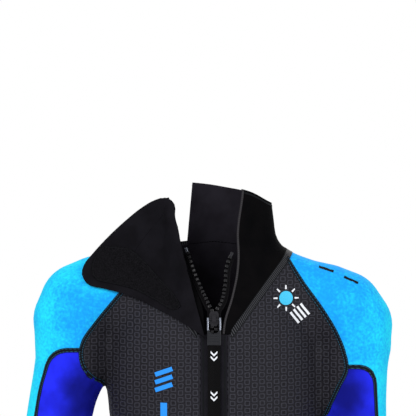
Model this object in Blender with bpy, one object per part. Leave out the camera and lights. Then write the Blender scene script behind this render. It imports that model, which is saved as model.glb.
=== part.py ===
"""Full-length wetsuit with a front zip and a fold-over collar flap, filled as if worn.

The shell is one smooth body form, cut along its seams into separate neoprene panels.  The suit
faces -Y, +Z is up, and +X is the wearer's left.  The origin is the middle of the neck opening at
shoulder height, where the wearer or a hanger carries the suit.
"""

import math

import bmesh
import bpy
import numpy as np
from mathutils import Vector

# Driving dimensions, in metres
FABRIC = 0.003          # neoprene thickness
GAP = 0.0003            # clearance between neighbouring pieces
SEAM = 0.0007           # width of the cut between two panels
MESH_SIZE = 0.009       # edge length of the body form before it is thinned out
FORM_FACES = 2300       # triangles left in the body form
ANKLE_HEM_Z = -1.365
ANKLE_CUFF = 0.045      # height of each ankle cuff
WRIST_HEM_Z = -0.600
WRIST_CUFF = 0.035      # height of each wrist cuff
ELBOW_SEAM_Z = -0.375
WAIST_SEAM_Z = -0.400   # seam between upper and lower back
KNEE_TOP_Z = -0.950
KNEE_BOTTOM_Z = -1.100
CALF_TOP_Z = -1.050
SIDE_SEAM_Y = 0.010     # where the front panels meet the back ones
BINDING = 0.0036        # width of the grey binding along the throat's left edge
SIDE_TOP_Z = -0.140     # the side panels start under the arms, hidden by the sleeves' seams
CROTCH_SEAM_Z = -0.715
HIP_SEAM_RISE = 0.60    # rise of the leg seam per metre of half width

ZIP_TOP_Z = -0.080      # where the closed chain ends and the open V starts
ZIP_BOTTOM_Z = -0.470
ZIP_Y = -0.1040         # the flat front strip that the zip runs down
TEETH_X = 0.0031        # centre of each row of teeth
TEETH_HALF = 0.0019
TAPE_WIDTH = 0.0057
FACING_IN = 0.0072      # smooth facing beside the teeth, inner and outer edge
FACING_OUT = 0.0180
SLIDER_LENGTH = 0.020
SLIDER_HALF = 0.0064
PLATE = 0.0012          # thickness of the slider's two plates
PIVOT_Z = -0.0905
PIVOT_Y = ZIP_Y - 0.0042
PIVOT = (0.0, PIVOT_Y, PIVOT_Z)
PIN_RADIUS = 0.0009
EYE_RADIUS = 0.0023
PULLER_HALF = 0.0094
PULLER_LENGTH = 0.0350
PULLER_THICK = 0.0024
PRONG = 0.0034
STRAP_HALF = 0.0084
STRAP_THICK = 0.0018
STRAP_LENGTH = 0.240
STRAP_GAP = 0.0008      # lets the strap swing without meeting the puller
TAB_LENGTH = 0.022

# Body form, as columns of level sections: (z, centre x, centre y, half width, half depth)
TORSO = (
    (0.015, 0.0, 0.012, 0.030, 0.030), (-0.020, 0.0, 0.009, 0.086, 0.064),
    (-0.060, 0.0, 0.006, 0.124, 0.090), (-0.110, 0.0, 0.003, 0.141, 0.106),
    (-0.200, 0.0, 0.003, 0.147, 0.112), (-0.300, 0.0, 0.003, 0.135, 0.110),
    (-0.420, 0.0, 0.000, 0.128, 0.103), (-0.520, 0.0, 0.004, 0.147, 0.109),
    (-0.620, 0.0, 0.012, 0.166, 0.117), (-0.700, 0.0, 0.012, 0.150, 0.108),
    (-0.760, 0.0, 0.010, 0.090, 0.070))
NECK = (
    (0.150, 0.014, 0.015, 0.067, 0.061), (0.070, 0.012, 0.014, 0.069, 0.062),
    (0.035, 0.009, 0.013, 0.076, 0.064), (0.000, 0.002, 0.012, 0.086, 0.066),
    (-0.060, 0.000, 0.012, 0.086, 0.066))
COLLAR_TOP = ((0.120, 0.055), (0.077, 0.069), (0.054, 0.081), (0.0135, 0.0905), (-0.120, 0.100))
LEG = (
    (-0.580, 0.084, 0.010, 0.070, 0.095), (-0.700, 0.088, 0.008, 0.083, 0.096),
    (-0.800, 0.092, 0.006, 0.076, 0.086), (-0.950, 0.098, 0.004, 0.065, 0.070),
    (-1.030, 0.101, 0.004, 0.058, 0.062), (-1.130, 0.105, 0.014, 0.055, 0.061),
    (-1.250, 0.108, 0.012, 0.044, 0.050), (-1.350, 0.111, 0.006, 0.038, 0.042),
    (-1.430, 0.113, 0.004, 0.037, 0.041))
# Arms, as round sections along a centre line: (x, y, z, radius), for the wearer's left and right
ARM_LEFT = (
    (0.030, 0.012, -0.022, 0.050), (0.110, 0.009, -0.060, 0.053), (0.190, 0.005, -0.097, 0.0575),
    (0.193, 0.002, -0.160, 0.050), (0.195, 0.000, -0.221, 0.0455), (0.212, 0.000, -0.350, 0.041),
    (0.218, -0.008, -0.430, 0.041), (0.232, -0.026, -0.530, 0.033), (0.243, -0.040, -0.610, 0.029),
    (0.252, -0.052, -0.680, 0.029))
ARM_RIGHT = (
    (-0.030, 0.012, -0.022, 0.050), (-0.110, 0.009, -0.052, 0.053), (-0.189, 0.005, -0.080, 0.0585),
    (-0.199, 0.002, -0.150, 0.050), (-0.214, 0.000, -0.221, 0.0455), (-0.238, 0.000, -0.350, 0.041),
    (-0.252, -0.008, -0.430, 0.041), (-0.270, -0.026, -0.530, 0.033), (-0.284, -0.040, -0.610, 0.029),
    (-0.296, -0.052, -0.680, 0.029))

# Seams, each as (z, distance from the centre plane) seen from the front
ARMHOLE_FRONT = {
    1: ((0.02, 0.088), (-0.012, 0.103), (-0.042, 0.121), (-0.080, 0.148), (-0.111, 0.167),
        (-0.138, 0.178), (-0.163, 0.182), (-0.188, 0.171)),
    -1: ((0.02, 0.088), (-0.012, 0.100), (-0.042, 0.115), (-0.070, 0.138), (-0.099, 0.162),
         (-0.124, 0.179), (-0.146, 0.183), (-0.165, 0.176))}
ARMHOLE_BACK = ((0.02, 0.080), (-0.030, 0.105), (-0.080, 0.128), (-0.140, 0.148))
UNDERARM = {
    1: ((-0.140, 0.2195), (-0.185, 0.2225), (-0.221, 0.2245), (-0.300, 0.229), (-0.400, 0.241)),
    -1: ((-0.120, 0.2200), (-0.165, 0.2325), (-0.192, 0.2400), (-0.221, 0.2450), (-0.300, 0.258),
         (-0.400, 0.276))}
UNDERARM_TOP = {1: -0.159, -1: -0.136}
THROAT_LEFT = ((0.12, 0.041), (0.081, 0.038), (0.024, 0.031), (-0.009, 0.032), (-0.031, 0.030),
               (-0.062, 0.023), (-0.092, 0.0135), (-0.115, 0.0105))
THROAT_RIGHT = ((0.12, -0.090), (0.004, -0.046), (-0.038, -0.031), (-0.073, -0.016), (-0.092, -0.0135),
                (-0.115, -0.0105))
# Open rows of teeth above the slider, as (z, x) from the top down
TEETH_V = {1: ((-0.001, 0.0255), (-0.020, 0.0178), (-0.045, 0.0155), (-0.068, 0.0098), (-0.079, 0.0031)),
           -1: ((-0.001, -0.0370), (-0.038, -0.0230), (-0.071, -0.0070), (-0.079, -0.0031))}
STOP_LENGTH = 0.007
NECK_SEAM_Z = -0.111    # lowest point of the neck seam
NECK_SEAM_X = 0.023
NECK_SEAM_SLOPE = 1.30

# Flap: its free outline seen from the front, from the top of its root round to the bottom of it
FLAP_AXIS_TOP = (-0.0445, -0.0845, 0.004)
FLAP_AXIS_BOTTOM = (-0.0125, -0.1165, -0.114)
FLAP_STANDOFF = 0.005   # how far the open flap lies in front of the chest
FLAP_MESH = 0.010
FLAP_EDGE = ((-0.0475, 0.026), (-0.0530, 0.049), (-0.0535, 0.064), (-0.0600, 0.0715), (-0.0700, 0.0732),
             (-0.0840, 0.0695), (-0.1000, 0.0600), (-0.1200, 0.0440), (-0.1480, 0.0180),
             (-0.1690, -0.0050), (-0.1790, -0.0180), (-0.1820, -0.0310), (-0.1750, -0.0430),
             (-0.1500, -0.0510), (-0.1280, -0.0570), (-0.1000, -0.0670), (-0.0715, -0.0800),
             (-0.0400, -0.0970))
HOOK_PATCH = ((-0.1540, 0.0090), (-0.1350, 0.0070), (-0.1160, 0.0040), (-0.0990, -0.0100),
              (-0.0760, -0.0350), (-0.0500, -0.0640), (-0.0450, -0.0740), (-0.0520, -0.0780),
              (-0.0800, -0.0660), (-0.1100, -0.0520), (-0.1400, -0.0440), (-0.1640, -0.0370),
              (-0.1700, -0.0250), (-0.1660, -0.0080))


def clear_scene():
    for thing in list(bpy.data.objects):
        bpy.data.objects.remove(thing, do_unlink=True)


def material(name, color, roughness, metallic=0.0):
    mat = bpy.data.materials.new(name)
    mat.use_nodes = True
    shader = mat.node_tree.nodes["Principled BSDF"]
    shader.inputs["Base Color"].default_value = (*color, 1.0)
    shader.inputs["Roughness"].default_value = roughness
    shader.inputs["Metallic"].default_value = metallic
    return mat


def spline(t, knots, values):
    """A smooth curve through (knots, values), read at t; the knots rise."""
    knots = np.asarray(knots, float)
    values = np.asarray(values, float)
    slope = np.gradient(values, knots, axis=0)
    t = np.clip(t, knots[0], knots[-1])
    i = np.clip(np.searchsorted(knots, t) - 1, 0, len(knots) - 2)
    width = knots[i + 1] - knots[i]
    u = (t - knots[i]) / width
    if values.ndim > 1:
        u = u[:, None]
        width = width[:, None]
    a = (1 + 2 * u) * (1 - u) ** 2 * values[i]
    b = u * (1 - u) ** 2 * width * slope[i]
    c = u * u * (3 - 2 * u) * values[i + 1]
    d = u * u * (u - 1) * width * slope[i + 1]
    return a + b + c + d


def curve_at(z, table):
    """Reads a table of (z, value) rows, falling in z, as a smooth curve."""
    rows = np.asarray(table, float)[::-1]
    return spline(z, rows[:, 0], rows[:, 1])


def smooth_min(a, b, k):
    h = np.clip(0.5 + 0.5 * (b - a) / k, 0.0, 1.0)
    return b * (1 - h) + a * h - k * h * (1 - h)


def smooth_step(low, high, t):
    u = np.clip((t - low) / (high - low), 0.0, 1.0)
    return u * u * (3 - 2 * u)


def column(p, table, side=1.0):
    """Distance-like field of a column of level sections."""
    rows = np.asarray(table, float)[::-1]
    s = spline(p[:, 2], rows[:, 0], rows[:, 1:])
    q = np.hypot((p[:, 0] - side * s[:, 0]) / s[:, 2], (p[:, 1] - s[:, 1]) / s[:, 3])
    f = (q - 1) * np.sqrt(s[:, 2] * s[:, 3])
    past = np.maximum(p[:, 2] - rows[-1, 0], rows[0, 0] - p[:, 2])
    return np.where(past > 0, np.hypot(np.maximum(f, 0), past), f)


def arm_line(table, steps=30):
    rows = np.asarray(table, float)
    run = np.concatenate([[0], np.cumsum(np.linalg.norm(np.diff(rows[:, :3], axis=0), axis=1))])
    return spline(np.linspace(0, run[-1], steps), run, rows)


def arm_field(p, line):
    """Distance to a round tube of changing radius along a centre line."""
    best = np.full(len(p), 1e9)
    for a, b in zip(line[:-1], line[1:]):
        d = b[:3] - a[:3]
        t = np.clip((p - a[:3]) @ d / (d @ d), 0, 1)
        c = a[:3] + t[:, None] * d
        best = np.minimum(best, np.linalg.norm(p - c, axis=1) - (a[3] + t * (b[3] - a[3])))
    return best


ARM_LINES = {1: arm_line(ARM_LEFT), -1: arm_line(ARM_RIGHT)}


def body_field(p):
    """Zero on the outside of the suit, negative inside."""
    legs = np.minimum(column(p, LEG, 1.0), column(p, LEG, -1.0))
    f = smooth_min(column(p, TORSO), legs, 0.030)
    f = smooth_min(f, column(p, NECK), 0.045)
    arms = np.minimum(arm_field(p, ARM_LINES[1]), arm_field(p, ARM_LINES[-1]))
    f = smooth_min(f, arms, 0.020)
    plane = ZIP_Y - p[:, 1]
    near = (1 - smooth_step(0.019, 0.060, np.abs(p[:, 0]))) * (p[:, 1] < 0)
    near = near * smooth_step(-0.045, -0.080, p[:, 2]) * smooth_step(-0.540, -0.475, p[:, 2])
    return f * (1 - near) + plane * near


def gradient(field, p, h=0.0005):
    g = np.empty_like(p)
    for k in range(3):
        step = np.zeros(3)
        step[k] = h
        g[:, k] = (field(p + step) - field(p - step)) / (2 * h)
    return g


def onto(field, p, rounds=7):
    """Moves points onto the field's zero surface."""
    p = np.array(p, float)
    for _ in range(rounds):
        g = gradient(field, p)
        p -= (field(p) / np.maximum((g * g).sum(1), 0.05))[:, None] * g
    return p


def unit_normals(field, p):
    g = gradient(field, p)
    return g / np.linalg.norm(g, axis=1)[:, None]


def add_tube(bm, rings):
    """Closed tube through rings of points."""
    loops = [[bm.verts.new(co) for co in ring] for ring in rings]
    n = len(loops[0])
    for low, high in zip(loops[:-1], loops[1:]):
        for i in range(n):
            bm.faces.new((low[i], low[(i + 1) % n], high[(i + 1) % n], high[i]))
    bm.faces.new(loops[0][::-1])
    bm.faces.new(loops[-1])


def section_rings(table, side=1.0, count=24, steps=40):
    rows = np.asarray(table, float)[::-1]
    z = np.linspace(rows[0, 0], rows[-1, 0], steps)
    s = spline(z, rows[:, 0], rows[:, 1:])
    turn = np.linspace(0, 2 * math.pi, count, endpoint=False)
    return [[(side * c[0] + c[2] * math.cos(a), c[1] + c[3] * math.sin(a), h) for a in turn]
            for h, c in zip(z, s)]


def arm_rings(line, count=16):
    turn = np.linspace(0, 2 * math.pi, count, endpoint=False)
    rings = []
    for i, row in enumerate(line):
        ahead = line[min(i + 1, len(line) - 1)][:3] - line[max(i - 1, 0)][:3]
        across = np.cross(ahead, (0, 1, 0))
        across /= np.linalg.norm(across)
        up = np.cross(across, ahead / np.linalg.norm(ahead))
        rings.append([row[:3] + row[3] * (math.cos(a) * across + math.sin(a) * up) for a in turn])
    return rings


def through_modifier(bm, kind, **settings):
    """The mesh as the named modifier leaves it."""
    before = bpy.data.meshes.new("through")
    bm.to_mesh(before)
    bm.free()
    holder = bpy.data.objects.new("through", before)
    bpy.context.scene.collection.objects.link(holder)
    modifier = holder.modifiers.new("step", kind)
    for key, value in settings.items():
        setattr(modifier, key, value)
    after = bpy.data.meshes.new_from_object(holder.evaluated_get(bpy.context.evaluated_depsgraph_get()))
    bpy.data.objects.remove(holder, do_unlink=True)
    result = bmesh.new()
    result.from_mesh(after)
    bpy.data.meshes.remove(before)
    bpy.data.meshes.remove(after)
    return result


def body_mesh():
    """The whole outside of the suit as one closed mesh lying on the body form."""
    bm = bmesh.new()
    add_tube(bm, section_rings(TORSO))
    add_tube(bm, section_rings(NECK))
    add_tube(bm, section_rings(LEG, 1.0))
    add_tube(bm, section_rings(LEG, -1.0))
    for line in ARM_LINES.values():
        add_tube(bm, arm_rings(line))
    bmesh.ops.recalc_face_normals(bm, faces=bm.faces)
    bm = through_modifier(bm, "REMESH", mode="VOXEL", voxel_size=MESH_SIZE)
    for _ in range(4):
        bmesh.ops.smooth_vert(bm, verts=bm.verts, factor=0.5,
                              use_axis_x=True, use_axis_y=True, use_axis_z=True)
        settle(bm, body_field, 3)
    bmesh.ops.triangulate(bm, faces=bm.faces)
    bm = through_modifier(bm, "DECIMATE", ratio=FORM_FACES / len(bm.faces))
    settle(bm, body_field, 4)
    outward = bm.verts.layers.float_vector.new("outward")
    for v, n in zip(bm.verts, unit_normals(body_field, points_of(bm))):
        v[outward] = n
    even = [sum((e.other_vert(v)[outward] for e in v.link_edges), v[outward] * 2) for v in bm.verts]
    for v, n in zip(bm.verts, even):
        v[outward] = n.normalized()
    return bm


def settle(bm, field, rounds):
    p = onto(field, [v.co[:] for v in bm.verts], rounds)
    for v, co in zip(bm.verts, p):
        v.co = co


def points_of(bm):
    return np.array([v.co[:] for v in bm.verts], float)


def clip(bm, values):
    """Cuts the faces where the values at the vertices cross zero and keeps the positive side."""
    layer = bm.verts.layers.float.new("side")
    outward = bm.verts.layers.float_vector["outward"]
    for v, value in zip(bm.verts, values):
        v[layer] = value if abs(value) > 1e-7 else 1e-7
    for edge in list(bm.edges):
        a, b = edge.verts
        if a[layer] * b[layer] < 0:
            share = a[layer] / (a[layer] - b[layer])
            normal = a[outward] * (1 - share) + b[outward] * share
            _, new = bmesh.utils.edge_split(edge, a, share)
            new[layer] = 0.0
            new[outward] = normal
    for face in list(bm.faces):
        cut = [v for v in face.verts if v[layer] == 0.0]
        if len(cut) == 2 and not any(set(e.verts) == set(cut) for e in face.edges):
            bmesh.utils.face_split(face, cut[0], cut[1])
        elif len(cut) > 2:
            bmesh.ops.connect_verts(bm, verts=cut)
    gone = [f for f in bm.faces if sum(v[layer] for v in f.verts) <= 0]
    bmesh.ops.delete(bm, geom=gone, context="FACES")
    loose = [v for v in bm.verts if not v.link_faces]
    bmesh.ops.delete(bm, geom=loose, context="VERTS")
    bm.verts.layers.float.remove(layer)


def thicken(bm, depth):
    """Gives an open sheet its thickness, inwards against the form's own normals."""
    outward = bm.verts.layers.float_vector["outward"]
    bmesh.ops.triangulate(bm, faces=bm.faces)
    made = bmesh.ops.extrude_face_region(bm, geom=list(bm.faces), use_keep_orig=True)
    for v in made["geom"]:
        if isinstance(v, bmesh.types.BMVert):
            v.co = v.co - depth * v[outward]
    bmesh.ops.recalc_face_normals(bm, faces=bm.faces)


def finish_object(name, bm, mat, origin=(0.0, 0.0, 0.0)):
    """Makes the object, with its own origin on the axis it moves about."""
    bmesh.ops.translate(bm, verts=bm.verts, vec=-Vector(origin))
    mesh = bpy.data.meshes.new(name)
    bm.to_mesh(mesh)
    bm.free()
    thing = bpy.data.objects.new(name, mesh)
    thing.location = origin
    mesh.materials.append(mat)
    bpy.context.scene.collection.objects.link(thing)
    return thing


# Seam fields: each is positive on the side its name says

def above_neck_seam(p):
    x = np.abs(p[:, 0])
    front = NECK_SEAM_Z + NECK_SEAM_SLOPE * np.maximum(x - NECK_SEAM_X, 0.0)
    back = 0.012 - 0.10 * x
    w = smooth_step(-0.030, 0.030, p[:, 1])
    return (p[:, 2] - front * (1 - w) - back * w) * 0.75


def armpit(side):
    """Height and distance from the centre plane of the point where arm and side part."""
    x = side * np.linspace(0.125, 0.175, 60)
    high, low = -0.12, -0.30
    for _ in range(24):
        z = (high + low) / 2
        row = np.stack([x, 0 * x + 0.003, 0 * x + z], axis=1)
        if body_field(row).max() > 0:
            low = z
        else:
            high = z
    row[:, 2] = low
    return low, abs(x[np.argmax(body_field(row))])


ARMPIT = {1: armpit(1), -1: armpit(-1)}


def in_sleeve(p, side):
    low, x_low = ARMPIT[side]
    front = curve_at(p[:, 2], ARMHOLE_FRONT[side] + ((low, x_low),))
    back = curve_at(p[:, 2], ARMHOLE_BACK + ((low, x_low),))
    w = smooth_step(-0.020, 0.030, p[:, 1])
    g = side * p[:, 0] - front * (1 - w) - back * w
    nearer_arm = column(p, TORSO) - arm_field(p, ARM_LINES[side])
    under = smooth_step(low + 0.014, low - 0.004, p[:, 2])
    return g * (1 - under) + nearer_arm * under


def in_underarm(p, side):
    outer = curve_at(p[:, 2], UNDERARM[side]) - side * p[:, 0]
    return smooth_min(outer, UNDERARM_TOP[side] - p[:, 2], 0.025)


def in_side(p):
    middle = 0.022 + 0.02 * smooth_step(-0.30, -0.60, p[:, 2])
    half = 0.024 + 0.016 * smooth_step(-0.22, -0.50, p[:, 2])
    return np.minimum(half - np.abs(p[:, 1] - middle), SIDE_TOP_Z - p[:, 2])


def in_leg(p):
    return (CROTCH_SEAM_Z + HIP_SEAM_RISE * np.abs(p[:, 0]) - p[:, 2]) * 0.85


def in_front(p):
    return SIDE_SEAM_Y - p[:, 1]


def throat_side(p):
    """Positive on the collar stand, from the throat's left edge round to the open edge at the back."""
    front = p[:, 0] - curve_at(p[:, 2], THROAT_LEFT)
    back = p[:, 0] + 0.031 + 0.09 * (0.093 - p[:, 2])
    return np.where(p[:, 1] < 0.015, front, back)


def past_binding(p):
    return np.where(p[:, 1] < 0.015, throat_side(p) - BINDING, 1.0)


def turned_side(p):
    """Positive on the turned-over right half of the collar."""
    front = curve_at(p[:, 2], THROAT_RIGHT) - p[:, 0]
    return np.where(p[:, 1] < 0.015, front, 1.0)


def collar_top(p):
    rows = np.asarray(COLLAR_TOP, float)[::-1]
    return spline(p[:, 0], rows[:, 0], rows[:, 1]) - p[:, 2]


def fold_top(p):
    return 0.003 + 0.038 * smooth_step(-0.042, -0.078, p[:, 0]) - p[:, 2]


def above(z):
    return lambda p: p[:, 2] - z


def left_of(x):
    return lambda p: p[:, 0] - x


def left_half(p):
    return p[:, 0]


def part_by(bm, field):
    """Cuts a sheet along a seam: the piece on the field's positive side, and the rest."""
    values = field(points_of(bm))
    rest = bm.copy()
    clip(bm, values - SEAM / 2)
    clip(rest, -values - SEAM / 2)
    return bm, rest


def panel(name, bm, mat, hem=None):
    """One neoprene panel, with the edge at an open hem cut level."""
    thicken(bm, FABRIC)
    for v in bm.verts:
        if hem is not None and abs(v.co.z - hem) < FABRIC / 2:
            v.co.z = hem
    return finish_object(name, bm, mat)


def collar_panels(collar, mats):
    stand, rest = part_by(collar, throat_side)
    turned, throat = part_by(rest, turned_side)
    throat.free()
    stand, spare = part_by(stand, collar_top)
    spare.free()
    turned, spare = part_by(turned, fold_top)
    spare.free()
    stand, binding = part_by(stand, past_binding)
    panel("collar_binding", binding, mats["grey"])
    panel("collar_stand", stand, mats["smooth"])
    panel("collar_turned", turned, mats["smooth"])


def arm_panels(arm, label, side, mats):
    upper, lower = part_by(arm, above(ELBOW_SEAM_Z))
    under, outer = part_by(upper, lambda p: in_underarm(p, side))
    forearm, rest = part_by(lower, above(WRIST_HEM_Z + WRIST_CUFF))
    cuff, spare = part_by(rest, above(WRIST_HEM_Z))
    spare.free()
    panel(f"underarm_{label}", under, mats["royal"])
    panel(f"sleeve_{label}", outer, mats["azure"])
    panel(f"forearm_{label}", forearm, mats["black"])
    panel(f"wrist_cuff_{label}", cuff, mats["black"], WRIST_HEM_Z)


def leg_panels(leg, label, mats):
    long, rest = part_by(leg, above(ANKLE_HEM_Z + ANKLE_CUFF))
    cuff, spare = part_by(rest, above(ANKLE_HEM_Z))
    spare.free()
    front, back = part_by(long, in_front)
    thigh, rest = part_by(front, above(KNEE_TOP_Z))
    knee, shin = part_by(rest, above(KNEE_BOTTOM_Z))
    hamstring, calf = part_by(back, above(CALF_TOP_Z))
    panel(f"thigh_front_{label}", thigh, mats["black"])
    panel(f"thigh_back_{label}", hamstring, mats["black"])
    panel(f"knee_pad_{label}", knee, mats["chest"])
    panel(f"shin_{label}", shin, mats["black"])
    panel(f"calf_{label}", calf, mats["royal"])
    panel(f"ankle_cuff_{label}", cuff, mats["black"], ANKLE_HEM_Z)


def torso_panels(torso, mats):
    sides, rest = part_by(torso, in_side)
    front, back = part_by(rest, in_front)
    upper, lower = part_by(back, above(WAIST_SEAM_Z))
    side_left, side_right = part_by(sides, left_half)
    chest_left, rest = part_by(front, left_of(FACING_OUT))
    band, chest_right = part_by(rest, left_of(-FACING_OUT))
    facings, lower_front = part_by(band, above(ZIP_BOTTOM_Z - 0.012))
    facing_left, rest = part_by(facings, left_of(FACING_IN))
    spare, facing_right = part_by(rest, left_of(-FACING_IN))
    spare.free()
    panel("back_upper", upper, mats["chest"])
    panel("back_lower", lower, mats["black"])
    panel("lower_front", lower_front, mats["black"])
    panel("side_left", side_left, mats["royal"])
    panel("side_right", side_right, mats["royal"])
    panel("chest_left", chest_left, mats["chest"])
    panel("chest_right", chest_right, mats["chest"])
    panel("zip_facing_left", facing_left, mats["black"])
    panel("zip_facing_right", facing_right, mats["black"])


def shell_panels(form, mats):
    collar, body = part_by(form, above_neck_seam)
    left_arm, body = part_by(body, lambda p: in_sleeve(p, 1))
    right_arm, body = part_by(body, lambda p: in_sleeve(p, -1))
    legs, torso = part_by(body, in_leg)
    left_leg, right_leg = part_by(legs, left_half)
    collar_panels(collar, mats)
    arm_panels(left_arm, "left", 1, mats)
    arm_panels(right_arm, "right", -1, mats)
    leg_panels(left_leg, "left", mats)
    leg_panels(right_leg, "right", mats)
    torso_panels(torso, mats)


def front_point(x, z, field=body_field):
    """The frontmost point of a form at (x, z)."""
    near, far = -0.20, 0.03
    for _ in range(40):
        middle = (near + far) / 2
        if field(np.array([[x, middle, z]]))[0] > 0:
            near = middle
        else:
            far = middle
    return np.array([x, near, z])


def ribbon(name, points, normals, inner, outer, shallow, deep, mat):
    """Rectangular bar along a path on the form: across from inner to outer, and from shallow to deep."""
    bm = bmesh.new()
    rings = []
    for i, (p, n) in enumerate(zip(points, normals)):
        along = points[min(i + 1, len(points) - 1)] - points[max(i - 1, 0)]
        across = np.cross(along, n)
        across /= np.linalg.norm(across)
        corners = ((inner, shallow), (outer, shallow), (outer, deep), (inner, deep))
        rings.append([p + a * across - d * n for a, d in corners])
    add_tube(bm, rings)
    bmesh.ops.recalc_face_normals(bm, faces=bm.faces)
    return finish_object(name, bm, mat)


def teeth_path(side):
    """The row of teeth from the bottom of the zip to the top of the open V."""
    rows = np.asarray(TEETH_V[side], float)[::-1]
    z = np.linspace(rows[0, 0], rows[-1, 0], 12)
    x = spline(z, rows[:, 0], rows[:, 1])
    open_part = [front_point(a, b) for a, b in zip(x, z)]
    closed = [np.array([side * TEETH_X, ZIP_Y, h]) for h in (ZIP_BOTTOM_Z, -0.300, -0.110)]
    return np.array(closed + open_part)


def zip_rows(mats):
    for label, side in (("left", 1), ("right", -1)):
        path = teeth_path(side)
        normals = unit_normals(body_field, path)
        edge = TEETH_HALF
        ribbon(f"zip_teeth_{label}", path, normals, -edge, edge, 0.0006, 0.0031, mats["smooth"])
        low, high = sorted((-side * edge, side * (TAPE_WIDTH - edge)))
        ribbon(f"zip_tape_{label}", path, normals, low, high, 0.0038, 0.0048, mats["black"])
        ahead = (path[-1] - path[-2]) / np.linalg.norm(path[-1] - path[-2])
        stop = np.array([path[-1] + GAP * ahead, path[-1] + STOP_LENGTH * ahead])
        ribbon(f"zip_top_stop_{label}", stop, normals[-2:], -edge, edge, 0.0004, 0.0031, mats["metal"])
    low = np.array([[0, ZIP_Y, ZIP_BOTTOM_Z - 0.006], [0, ZIP_Y, ZIP_BOTTOM_Z - GAP]])
    front = np.array([[0, -1, 0], [0, -1, 0]])
    ribbon("zip_bottom_stop", low, front, -0.0050, 0.0050, 0.0006, 0.0031, mats["metal"])
    guard = np.array([[0, ZIP_Y, ZIP_BOTTOM_Z - 0.008], [0, ZIP_Y, -0.112]])
    ribbon("zip_guard", guard, front, -0.022, 0.022, 0.0072, 0.0092, mats["black"])


def block(low, high):
    bm = bmesh.new()
    bmesh.ops.create_cube(bm, size=1.0)
    low = Vector(low)
    size = Vector(high) - low
    for v in bm.verts:
        v.co = Vector(low[k] + (v.co[k] + 0.5) * size[k] for k in range(3))
    return bm


def rod(centre, radius, half_length):
    """Round bar along X."""
    bm = bmesh.new()
    bmesh.ops.create_cone(bm, cap_ends=True, segments=16, radius1=radius, radius2=radius, depth=2 * half_length)
    for v in bm.verts:
        v.co = Vector((centre[0] + v.co.z, centre[1] + v.co.x, centre[2] + v.co.y))
    bmesh.ops.recalc_face_normals(bm, faces=bm.faces)
    return bm


def combine(body, others, operation):
    """Applies one Boolean after another to a mesh."""
    for other in others:
        mesh = bpy.data.meshes.new("tool")
        other.to_mesh(mesh)
        other.free()
        tool = bpy.data.objects.new("tool", mesh)
        bpy.context.scene.collection.objects.link(tool)
        body = through_modifier(body, "BOOLEAN", object=tool, operation=operation)
        bpy.data.objects.remove(tool, do_unlink=True)
    return body


def slider_profile():
    """Half of the slider's section, as (x, y): top plate, flange, then the plate behind the tapes."""
    face = ZIP_Y - 0.0009
    under = ZIP_Y + 0.0052
    return ((0.0, face), (SLIDER_HALF, face), (SLIDER_HALF, ZIP_Y + 0.0030),
            (SLIDER_HALF - PLATE, ZIP_Y + 0.0030), (SLIDER_HALF - PLATE, face + PLATE),
            (0.0008, face + PLATE), (0.0008, under), (0.0056, under), (0.0056, under + PLATE), (0.0, under + PLATE))


def zip_slider(mats):
    half = slider_profile()
    outline = list(half) + [(-x, y) for x, y in half[-2:0:-1]]
    bm = bmesh.new()
    verts = [bm.verts.new((x, y, ZIP_TOP_Z - SLIDER_LENGTH)) for x, y in outline]
    face = bm.faces.new(verts)
    made = bmesh.ops.extrude_face_region(bm, geom=[face])
    top = [g for g in made["geom"] if isinstance(g, bmesh.types.BMVert)]
    bmesh.ops.translate(bm, verts=top, vec=(0, 0, SLIDER_LENGTH))
    bmesh.ops.recalc_face_normals(bm, faces=bm.faces)
    lug = block((-0.0030, PIVOT_Y - 0.0016, PIVOT_Z - 0.0030), (0.0030, ZIP_Y - 0.0003, PIVOT_Z + 0.0030))
    pin = rod((0, PIVOT_Y, PIVOT_Z), PIN_RADIUS, 0.0086)
    finish_object("zip_slider", combine(bm, (lug, pin), "UNION"), mats["metal"], PIVOT)


def zip_puller(mats):
    top = PIVOT_Z
    low = PIVOT_Z - PULLER_LENGTH
    half = PULLER_THICK / 2
    body = block((-PULLER_HALF, PIVOT_Y - half, low), (PULLER_HALF, PIVOT_Y + half, top))
    eye = rod((PULLER_HALF - PRONG / 2, PIVOT_Y, PIVOT_Z), EYE_RADIUS, PRONG / 2)
    eye_two = rod((PRONG / 2 - PULLER_HALF, PIVOT_Y, PIVOT_Z), EYE_RADIUS, PRONG / 2)
    body = combine(body, (eye, eye_two), "UNION")
    inner = PULLER_HALF - PRONG
    window = block((-inner, PIVOT_Y - 0.01, top - 0.0150), (inner, PIVOT_Y + 0.01, top + 0.01))
    bore = rod((0, PIVOT_Y, PIVOT_Z), PIN_RADIUS + GAP, 0.012)
    body = combine(body, (window, bore), "DIFFERENCE")
    finish_object("zip_puller", body, mats["metal"], PIVOT)


def pull_strap(mats):
    top = PIVOT_Z - PULLER_LENGTH - STRAP_GAP
    low = top - STRAP_LENGTH
    swing = (0.0, PIVOT_Y, top)
    half = STRAP_THICK / 2
    strap = block((-STRAP_HALF, PIVOT_Y - half, low), (STRAP_HALF, PIVOT_Y + half, top))
    finish_object("pull_strap", strap, mats["black"], swing)
    end = low - GAP
    tab = block((-STRAP_HALF, PIVOT_Y - 2 * half, end - TAB_LENGTH), (STRAP_HALF, PIVOT_Y + half, end))
    finish_object("strap_end_tab", tab, mats["black"], swing)


def flap_form(p):
    """What the open flap lies over: the chest with the standoff, and the roll of the turned collar."""
    q = (p - (-0.075, 0.020, 0.010)) / (0.115, 0.060, 0.085)
    roll = (np.linalg.norm(q, axis=1) - 1) * 0.07
    return smooth_min(body_field(p) - FLAP_STANDOFF, roll, 0.030)


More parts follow.
